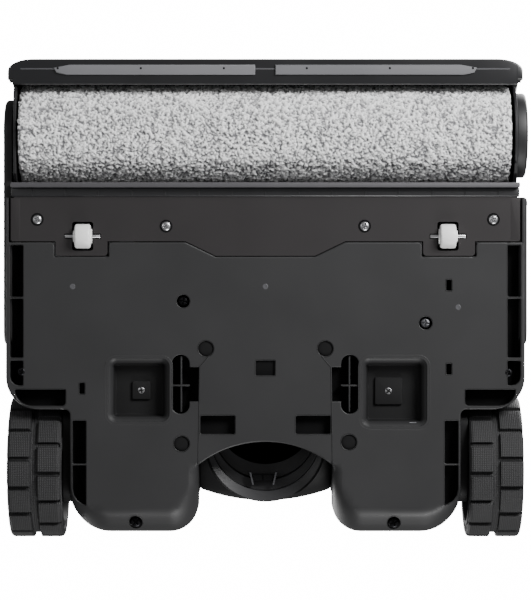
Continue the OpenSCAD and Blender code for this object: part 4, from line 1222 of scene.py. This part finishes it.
def round_latch(way, half_x, half_y, corner):
    """Outline of a box round one latch button."""
    x = way * abs(seat.x)
    return soft_rect(x - half_x, seat.y - half_y, x + half_x, seat.y + half_y, corner)


hood += [slab(round_latch(way, 14, 6.5, 3), cover_z1 - 7.3, cover_z1 - 4.6, 0.3, 0.3) for way in (-1, 1)]
hood_piece = make_piece("roller_cover_hood", *joined(*hood), GLOSS_ABS, "cover", ["roller_cover"], angle=35)
for way in (-1, 1):
    cut(hood_piece, slab(round_latch(way, 12, 4.5, 2.4), cover_z1 - 5.4, cover_z1 + 4, 0.1, 0.1))

# %% [markdown]
# ## Lip strips
# Two pale strips lie along the underside of the lip, with tapered ends and small blind holes left by
# the mould's pins; the holes are drawn as near-black discs, painted shade. A fine step line runs on
# beyond them to both corners, in a lighter grey than the cover: painted highlight. The strips are slabs
# of their own, since they are another plastic, and the line is a low ridge like those on the base plate.

# %% Lip strips
lip_low, lip_high = box_mm("cover_lip")
y0, y1 = lip_low.y, lip_high.y
near, far = 5.6, 117.5
strips, pin_hole_shade_discs = [], []
for way in (-1, 1):
    shape_right = [(near, y0), (far - 9, y0), (far, y0 + 1.7), (far - 1.5, y1 - 1.2), (far - 7, y1),
                   (near, y1)]
    loop = shape_right if way > 0 else [(-x, y) for x, y in shape_right[::-1]]
    strips.append(slab(loop, lip_low.z, lip_high.z + 0.3, 0.5, 0.1))
# The line is drawn in a lighter grey than the cover: painted highlight along the step.
step_highlight_line = ridge([(x, y0 + 2.2) for x in range(-136, 137, 8)], 0.9, cover_z0 + 0.05, cover_z0 - 0.35)
for x in (-115.2, -69.1, -23.0, 23.0, 69.1, 115.2):
    pin_hole_shade_discs.append(turned_z([(lip_low.z - 0.03, 0.62), (lip_low.z + 0.4, 0.6)], x, y0 + 2.0, 16))
make_piece("cover_lip_strips", *joined(*strips), LIP_ABS, "cover", ["cover_lip"], angle=50)
make_piece("cover_step_highlight_line", *step_highlight_line, BUTTON_ABS, "cover", angle=80)
make_piece("cover_pin_holes_painted_shade", *joined(*pin_hole_shade_discs), HOLLOW_SHADE_PP, "cover")

# %% [markdown]
# ## Latch buttons
# Two finger pads on top of the cover free it. Each is a rounded slab with three grip bars. The bars
# could be drawn as bump, but they are thick enough to be felt, so they are real.

# %% Latch buttons
def latch_pad(node, body):
    low, high = box_mm(node)
    pad = [slab(soft_rect(low.x, low.y, high.x, high.y, 2.2), low.z, high.z - 0.4, 0.2, 0.9)]
    for k in (-1, 0, 1):
        x = (low.x + high.x) / 2 + k * 5
        bar = soft_rect(x - 0.8, low.y + 1.6, x + 0.8, high.y - 1.6, 0.7, 3)
        pad.append(slab(bar, high.z - 1, high.z, 0.1, 0.4))
    make_piece(node + "_pad", *joined(*pad), BUTTON_ABS, body, [node])


latch_pad("left_latch_button", "left_latch")
latch_pad("right_latch_button", "right_latch")

# %% [markdown]
# ## Belt cover and side panel
# The drive belt on the left runs behind a flat cover with a round end over the roller's axle. The
# right side has a plain panel beside the roller's exit. Both are slabs lying across X with a generous
# outer edge, and a shallow panel line inside their rim. A bevel would round the hidden inner face as
# well, so the quarter circle is drawn on the outer side only.

# %% Belt cover and side panel
def side_slab(loop, x_in, x_out, r_out):
    """A slab across X whose outer face, at x_out, has the larger radius."""
    way = 1 if x_out > x_in else -1
    rings = [[(x_out - way * rise, a, b) for a, b in inset(loop, away)]
             for away, rise in edge_steps(r_out, 5)]
    rings.append([(x_in, a, b) for a, b in loop])
    return loft(rings)


belt_low, belt_high = box_mm("belt_cover")
low_z, top_z, end_y = belt_low.z + 0.7, belt_high.z, belt_high.y
belt_loop = [(ROLLER.y + 1.5, low_z), (end_y - 8, low_z)] + arc(end_y - 8, low_z + 8, 8, 270, 360, 6)
belt_loop += arc(end_y - 8, top_z - 8, 8, 0, 90, 6) + arc(ROLLER.y + 16, top_z - 16, 16, 90, 150, 8)
belt_loop += arc(ROLLER.y, ROLLER.z, 20, 86, 268, 24)
belt_loop = resample(belt_loop, 3.0)
inner_loop = inset(belt_loop, 4.0)
cover_shapes = [side_slab(belt_loop, belt_high.x, belt_low.x + 0.25, 2.2),
                side_slab(inner_loop, belt_low.x + 1.4, belt_low.x, 0.7)]
make_piece("belt_cover_shell", *joined(*cover_shapes), DARK_PP, "root", ["belt_cover"])
panel_low, panel_high = box_mm("side_panel")
panel_loop = soft_rect(panel_low.y, panel_low.z, panel_high.y, panel_high.z, [2, 8, 8, 8])
panel_loop = resample(panel_loop, 3.0)
side_shapes = [side_slab(panel_loop, panel_low.x, panel_high.x - 0.25, 2.0),
               side_slab(inset(panel_loop, 4.0), panel_high.x - 1.4, panel_high.x, 0.7)]
make_piece("side_panel_shell", *joined(*side_shapes), SHELL_ABS, "root", ["side_panel"])

# %% [markdown]
# ## Roller cap
# The roller is drawn out by this cap: a round with a stepped rim and a grip bar across a dished face.
# All its rings share one axis, so it is turned, and the bar is a soft slab that stands in the dish.

# %% Roller cap
cap_low, cap_high = box_mm("roller_cap")
cap_axis = middle("roller_cap")
cap_r, flange_r = 23.8, ROLLER_R
profile = [(cap_low.x, 9.0), (cap_low.x, flange_r - 0.3), (cap_low.x + 0.3, flange_r),
           (cap_low.x + 1.3, flange_r), (cap_low.x + 1.6, flange_r - 0.4),
           (cap_low.x + 1.7, cap_r + 1.2), (cap_low.x + 2.2, cap_r),
           (cap_high.x - 1.6, cap_r), (cap_high.x - 0.8, cap_r - 0.3), (cap_high.x - 0.2, cap_r - 1.0),
           (cap_high.x, cap_r - 2.0), (cap_high.x, cap_r - 3.6), (cap_high.x - 0.4, cap_r - 4.2),
           (cap_high.x - 1.3, cap_r - 5.0), (cap_high.x - 1.7, cap_r - 8.0), (cap_high.x - 1.8, 0.02)]
GRIP_LONG, GRIP_HIGH = 18.4, 3.6
grip_loop = soft_rect(cap_axis.y - GRIP_LONG, cap_axis.z - GRIP_HIGH, cap_axis.y + GRIP_LONG,
                      cap_axis.z + GRIP_HIGH, 2.0)
axle_at = Vector((0, ROLLER.y, ROLLER.z))
make_piece("roller_cap_face", *joined(turned_x(profile, axle_at, 96, (False, False)),
                                      side_slab(grip_loop, cap_high.x - 2.2, cap_high.x - 0.1, 1.4)),
           SHELL_ABS, "cartridge", ["roller_cap"])

# %% [markdown]
# ## Wheel hubs
# Each wheel has a pressed hubcap: a shallow dish with a raised rim, a centre boss and five oval pads.
# The dish is one turned profile. The pads lie on it as soft slabs, placed by a loop round the axle.

# %% Wheel hubs
PADS, PAD_AT, PAD_LONG, PAD_WIDE = 5, 20.5, 5.2, 2.3


def oval_pad(axis, a):
    """Outline of an oval at the angle a, lying across the radius."""
    y, z = axis.y + PAD_AT * math.cos(a), axis.z + PAD_AT * math.sin(a)
    turn = [2 * math.pi * i / 28 for i in range(28)]
    return [(y - PAD_LONG * math.sin(a) * math.cos(t) + PAD_WIDE * math.cos(a) * math.sin(t),
             z + PAD_LONG * math.cos(a) * math.cos(t) + PAD_WIDE * math.sin(a) * math.sin(t)) for t in turn]


def hubcap(node, body):
    low, high = box_mm(node)
    axis = middle(node)
    way = 1 if axis.x > 0 else -1
    face = high.x if way > 0 else low.x
    r = radius(node)
    rim = [(2.0, r), (0.5, r), (0.1, r - 0.5), (0.0, r - 1.2), (0.1, r - 2.6), (0.9, r - 3.6), (1.3, r - 5.0)]
    boss = [(1.4, 14.0), (1.0, 12.8), (0.5, 12.0), (0.35, 11.0), (0.3, 8.0), (0.8, 7.2), (0.8, 0.02)]
    profile = rim + boss
    dish = turned_x([(face - way * depth, ring) for depth, ring in profile], axis, 96, (False, False))
    ovals = [oval_pad(axis, math.radians(90 + 360 * k / PADS)) for k in range(PADS)]
    pads = [side_slab(oval, face - way * 2.0, face - way * 0.7, 0.5) for oval in ovals]
    make_piece(node + "_pressed", *joined(dish, *pads), BUTTON_ABS, body, [node])


hubcap("left_hubcap", "left_wheel")
hubcap("right_hubcap", "right_wheel")

# %% [markdown]
# ## Top housing
# The top of the head is one smooth shell over the motors. It is a skin like the base plate's: its
# outline is the plan of the head, its height follows a long curve that falls towards the wheels, and
# its rim rounds over by 9 mm. A raised middle panel, two rows of vents and a status lens sit on it.
# A subdivided cage could be pulled to this shape by hand, but the skin takes it from the outline.

# %% Top housing
CHANNEL_Y = 44.2
TOP_RIM = 9.0
top_high = box_mm("top_housing")[1]
fall_y = [-60, 10, 29.5, 55, 80, 95, 108, 118, 124, 128, 130.5]
fall_z = [0, 0, -0.4, -1.7, -4.2, -7.2, -11.0, -16.0, -20.0, -25.0, -30.0]


def top_height(spots, outline):
    fall = np.interp(spots[:, 1], fall_y, fall_z)
    away = distance_to(outline, spots)
    short = np.clip(TOP_RIM - away, 0, None)
    return top_high.z + fall - (TOP_RIM - np.sqrt(np.clip(TOP_RIM ** 2 - short ** 2, 0, None)))


plate_y = box_mm("roller_plate")[0].y
top_front = [(0, plate_y), (PLATE_X - 3, plate_y)] + arc(PLATE_X - 3, plate_y + 3, 3, 270, 360, 4)
top_channel = [(NOTCH_X, CHANNEL_Y + 1), (NOTCH_X - 1, CHANNEL_Y), (0, CHANNEL_Y)]
top_outline = mirrored_loop(top_front + side + rear[:27] + top_channel)
cross_rows = [(x, y) for y in range(-54, 128, 5) for x in range(-132, 133, 6)]
TOP_ROWS = (0.1, 0.4, 1.0, 1.9, 3.1, 4.7, 6.6, 9.0)
top_points, top_faces, top_loops = skin(top_outline, [], TOP_ROWS, top_height, 2.5, extra=cross_rows)
top_feet = top_height(np.array(top_loops[0]), top_loops[0])
SEAM_GAP = 0.5
walls = outer_wall(top_loops[0], [SEAM + SEAM_GAP] * len(top_feet), list(top_feet), 12)
make_piece("top_housing_skin", *joined((top_points, top_faces), walls), SHELL_ABS, "root", ["top_housing"],
           angle=50)


def on_top(loop, rise, thick, r):
    """A slab that lies on the top skin, following its height."""
    dense = resample(loop, 4.0)
    rings = []
    for away, up in [(0.0, -thick)] + [(a, rise - u) for a, u in edge_steps(r)][::-1]:
        moved = inset(dense, away)
        z = top_height(np.array(moved), top_loops[0])
        rings.append([(x, y, h + up) for (x, y), h in zip(moved, z)])
    return loft(rings, False, True)


top_panel = soft_rect(-44, plate_y + 12, 44, 30, 12)
make_piece("top_middle_panel", *on_top(top_panel, 0.9, 1.0, 0.8), GLOSS_ABS, "root")
# The vents are thin near-black slabs on the skin: painted shade in their slots.
VENTS, FIRST_VENT, VENT_STEP = 7, 66, 7
vents = []
for way in (-1, 1):
    for k in range(VENTS):
        x = way * (FIRST_VENT + VENT_STEP * k)
        vents.append(on_top(soft_rect(x - 1.4, -16, x + 1.4, 20, 1.3), 0.12, 0.5, 0.1))
make_piece("top_vent_slots_painted_shade", *joined(*vents), HOLLOW_SHADE_PP, "root")
lens = on_top(soft_rect(-16, -30, 16, -25, 2.4), 1.5, 0.5, 0.5)
make_piece("status_lens", *lens, SILICONE, "root")

# %% [markdown]
# ## Rails beside the retaining plate
# The base plate's side walls run on forward as two narrow rails, and the retaining plate reaches
# nearly to them, with a dark joint between. Both are plain slabs with a rounded rim.

# %% Rails beside the retaining plate
RAIL_X, RAIL_HALF, END_FROM, END_TO = PLATE_X - 0.8, 0.75, 136.0, 141.4
rails, ends = [], []
for way in (-1, 1):
    rail = soft_rect(way * RAIL_X - RAIL_HALF, plate_y + 0.3, way * RAIL_X + RAIL_HALF, PARTING + 4, 0.4)
    rails.append(slab(rail, UNDER + 0.1, SEAM + 0.4, 0.3, 0.1))
    x0, x1 = sorted((way * END_FROM, way * END_TO))
    ends.append(slab(soft_rect(x0, plate_y + 0.5, x1, PARTING - 0.4, 0.5), UNDER - 0.02, UNDER + 2, 0.3, 0.1))
make_piece("base_plate_rails", *joined(*rails), DECK_ABS, "root")
make_piece("retainer_plate_ends", *joined(*ends), RETAINER_ABS, "root")

# %% [markdown]
# ## Axle carriers
# Between each lobe and its wheel a dark upright block carries the axle; its near-black colour is
# painted shade. It closes the view up past the wheel's inner side, and stops a little short of the
# tyre. Little of it shows, so one soft slab is enough.

# %% Axle carriers
carriers = []
for node in ("left_tyre", "right_tyre"):
    low, high = box_mm(node)
    way = 1 if low.x > 0 else -1
    near = min(abs(low.x), abs(high.x)) - 0.3
    loop = resample(soft_rect(BLOCK_Y - 0.5, 12.0, 113.0, 60.0, 10.0), 3.0)
    carriers.append(side_slab(loop, way * (LOBE_X - 0.5), way * near, 0.4))
make_piece("axle_carriers", *joined(*carriers), SHADE_DARK_ABS, "root")

# %% [markdown]
# ## Neck yoke
# Between the lobes the neck hangs on two trunnions. Seen from below it is a crowned barrel with a
# stepped funnel in it, whose rings step forward as they go up, and a dark throat at their end. The
# barrel and collar are near-black, painted shade; the lowest ring and the funnel are lighter, painted
# light; the throat is near-black, painted shade. The barrel and the collar above it are turned shapes.
# The funnel's space is cut from them with a boolean, which suits one clean cut through plain closed
# shapes, and the funnel's own wall is a loft.

# %% Steps of the funnel
yoke_high = box_mm("neck_yoke")[1]
BARREL_R, BARREL_END_R, BARREL_HALF = 29.8, 23.4, 36.8
sag = BARREL_R - BARREL_END_R
crown_r = (BARREL_HALF ** 2 + sag ** 2) / (2 * sag)
NECK_R = 33.5
ring_foot = 28.0
steps = [(5.0, NECK_R + 0.3, 0.0), (ring_foot - 0.3, NECK_R + 0.2, 0.0), (ring_foot, NECK_R - 0.5, -0.1),
         (ring_foot + 1.6, 31.4, -3.9), (ring_foot + 5.0, 31.1, -4.1), (ring_foot + 5.8, 29.9, -8.1),
         (ring_foot + 10.0, 29.6, -8.6), (ring_foot + 11.0, 29.0, -16.2), (ring_foot + 24.0, 28.6, -17.4),
         (ring_foot + 34.0, 27.5, -17.4)]
front_wall = NECK.y - NECK_R + 2.6


def funnel_ring(z, r, shift, grow=0.0):
    return [(x, max(y, front_wall - grow), zz) for x, y, zz in circle_z(z, r + grow, 0, NECK.y + shift, 96)]


# %% Neck barrel, collar and funnel
barrel_x = np.linspace(-BARREL_HALF, BARREL_HALF, 25)
barrel_profile = [(x, math.sqrt(crown_r ** 2 - x * x) + BARREL_R - crown_r) for x in barrel_x]
end_r = barrel_profile[0][1]
barrel_profile = [(-BARREL_HALF, end_r - 1.2), (-BARREL_HALF + 0.2, end_r - 0.5)] + [
    (x * (BARREL_HALF - 0.9) / BARREL_HALF, r) for x, r in barrel_profile] + [
    (BARREL_HALF - 0.2, end_r - 0.5), (BARREL_HALF, end_r - 1.2)]
barrel = make_piece("neck_barrel", *turned_x(barrel_profile, HINGE, 128), SHADE_DARK_ABS, "neck", ["neck_yoke"])
collar_profile = [(ring_foot, NECK_R - 0.6), (ring_foot + 0.2, NECK_R - 0.2), (ring_foot + 0.8, NECK_R),
                  (yoke_high.z - 1.2, NECK_R), (yoke_high.z - 0.4, NECK_R - 0.4), (yoke_high.z, NECK_R - 1.2)]
collar = make_piece("neck_collar", *turned_z(collar_profile, 0, NECK.y, 128), SHADE_DARK_ABS, "neck")
cutter_shape = loft([funnel_ring(*step, grow=0.12) for step in steps])
cut(barrel, cutter_shape)
cut(collar, cutter_shape)
ring_band = loft([funnel_ring(*step) for step in steps[2:4]], False, False)
make_piece("neck_ring_band", *ring_band, NECK_RING_LIT_ABS, "neck", angle=35)
funnel = loft([funnel_ring(*step) for step in steps[3:8]], False, False)
make_piece("neck_funnel", *funnel, FUNNEL_LIT_ABS, "neck", angle=35)
throat = loft([funnel_ring(*step) for step in steps[7:]], False, True)
make_piece("neck_throat_painted_shade", *throat, HOLLOW_SHADE_PP, "neck")

# %% [markdown]
# ## Trunnions and clip
# The neck's two trunnions sit in round bosses on the lobes' inner walls. Both are turned round the
# hinge, so that they stay in line as the neck tilts. Low in the funnel, two thin ribs and a pair of
# dark windows mark the clip that holds the hose; the windows are near-black slabs, painted shade.

# %% Trunnions and clip
pin_profile = [(34, 9), (42.2, 9), (42.6, 8.6), (42.6, 0.02)]
boss_profile = [(37.8, 24.6), (37.2, 24.6), (37.0, 24.2), (37.0, 10.0), (37.8, 10.0)]


def both_sides(profile, steps):
    return joined(*[turned_x([(way * x, r) for x, r in profile], HINGE, steps, (False, False))
                    for way in (-1, 1)])


make_piece("neck_trunnions", *both_sides(pin_profile, 48), SHADE_DARK_ABS, "neck")
make_piece("trunnion_bosses", *both_sides(boss_profile, 96), SHADE_DARK_ABS, "root")
clip_y, clip_z = NECK.y + 20.3, ring_foot + 1.0
clip = []
for x in (-7.7, 5.3):
    lean = 0.9 if x < 0 else -0.9
    rings = [[(x + dx + lean * dy / 4, clip_y + dy, clip_z + dz) for dx, dy in
              ((-0.45, -3.6), (0.45, -3.6), (0.45, 3.6), (-0.45, 3.6))] for dz in (-1.2, 7)]
    clip.append(loft(rings))
make_piece("neck_clip_ribs", *joined(*clip), BUTTON_ABS, "neck")
windows = [soft_rect(x - 3.1, clip_y - 2.3, x + 3.1, clip_y + 1.2, 0.3, 2) for x in (-4.2, 1.4)]
pads = [slab(window, clip_z - 0.4, clip_z + 5, 0.1, 0.1) for window in windows]
make_piece("neck_clip_windows_painted_shade", *joined(*pads), HOLLOW_SHADE_PP, "neck")

# %% [markdown]
# ## Camera
# The lens is long and stands about a metre and a half below the head, looking straight up, with the
# front edge at the top of the view. A long lens keeps the wheels from leaning outwards.

# %% Camera
REACH = 1500 * MM
VIEW_HEIGHT = 333 * MM
SENSOR = 36.0
camera_data = bpy.data.cameras.new("camera")
camera_data.sensor_width = SENSOR
camera_data.lens = SENSOR * REACH / VIEW_HEIGHT
camera = bpy.data.objects.new("camera", camera_data)
camera.location = (0.1 * MM, 0, UNDER * MM - REACH)
camera.rotation_euler = (math.pi, 0, 0)
camera_data.clip_end = 20
bpy.context.scene.collection.objects.link(camera)
bpy.context.scene.camera = camera
print("lens", round(camera_data.lens, 1), "mm")

# %% [markdown]
# ## Floor, world and lights
# The head stands on a plain pale floor, but it is looked at from below. The floor's shader is solid
# on its upper face and clear on its lower one, and it casts nothing downwards, so the underside
# is seen as if the floor were glass. Soft lamps hang above for the other views and lie below for this
# one: a strong one from the front right, a weak fill from the left, and a low one that grazes the
# lobes' rounded rear edge. The backdrop is seen pure white, but it gives only a dim, even light.

# %% Floor and world
floor_mesh = bpy.data.meshes.new("studio_floor")
FLOOR_HALF = 3.0
corners = [(-FLOOR_HALF, -FLOOR_HALF, 0), (FLOOR_HALF, -FLOOR_HALF, 0),
           (FLOOR_HALF, FLOOR_HALF, 0), (-FLOOR_HALF, FLOOR_HALF, 0)]
floor_mesh.from_pydata(corners, [], [[0, 1, 2, 3]])
floor = bpy.data.objects.new("studio_floor", floor_mesh)
floor.location.z = -0.5 * MM
bpy.context.scene.collection.objects.link(floor)
floor_paint, tree, shader, place = new_material("studio_floor_paint")
shader.inputs["Base Color"].default_value = linear("#f2f2f0")
shader.inputs["Roughness"].default_value = 0.7
back = add(tree, "ShaderNodeNewGeometry").outputs["Backfacing"]
clear = add(tree, "ShaderNodeBsdfTransparent")
see_through = add(tree, "ShaderNodeMixShader", {"Fac": back, 1: shader.outputs[0], 2: clear.outputs[0]})
tree.links.new(see_through.outputs[0], tree.nodes["Material Output"].inputs["Surface"])
floor_mesh.materials.append(floor_paint)
floor.visible_diffuse = False
floor.visible_glossy = False
floor.visible_shadow = False

ROOM_LIGHT, BACKDROP = 0.24, 16.0
world = bpy.data.worlds.new("studio")
bpy.context.scene.world = world
world.use_nodes = True
sky = world.node_tree.nodes["Background"]
sky.inputs["Color"].default_value = (1, 1, 1, 1)
seen = add(world.node_tree, "ShaderNodeLightPath").outputs["Is Camera Ray"]
level = add(world.node_tree, "ShaderNodeMapRange", {"Value": seen, "To Min": ROOM_LIGHT,
                                                        "To Max": BACKDROP})
world.node_tree.links.new(level.outputs["Result"], sky.inputs["Strength"])


# %% Lamps
def lamp(name, place, aim, size, watts):
    data = bpy.data.lights.new(name, "AREA")
    data.shape = "DISK"
    data.size = size
    data.energy = watts
    light = bpy.data.objects.new(name, data)
    light.location = place
    light.rotation_euler = (Vector(aim) - Vector(place)).to_track_quat("-Z", "Y").to_euler()
    bpy.context.scene.collection.objects.link(light)
    print(name, watts, "W")


lamp("under_key", (0.68, -0.62, -0.66), (0, 0, 0), 0.5, 19.5)
lamp("under_fill", (-1.1, -0.4, -0.9), (0, 0, 0), 0.9, 2.5)
lamp("under_rear", (0.35, 1.2, -0.42), (0, 0.1, 0), 0.6, 12)
lamp("top_key", (0.9, -1.1, 1.6), (0, 0, 0), 1.0, 60)
lamp("top_fill", (-1.3, 0.6, 1.3), (0, 0, 0), 1.2, 30)
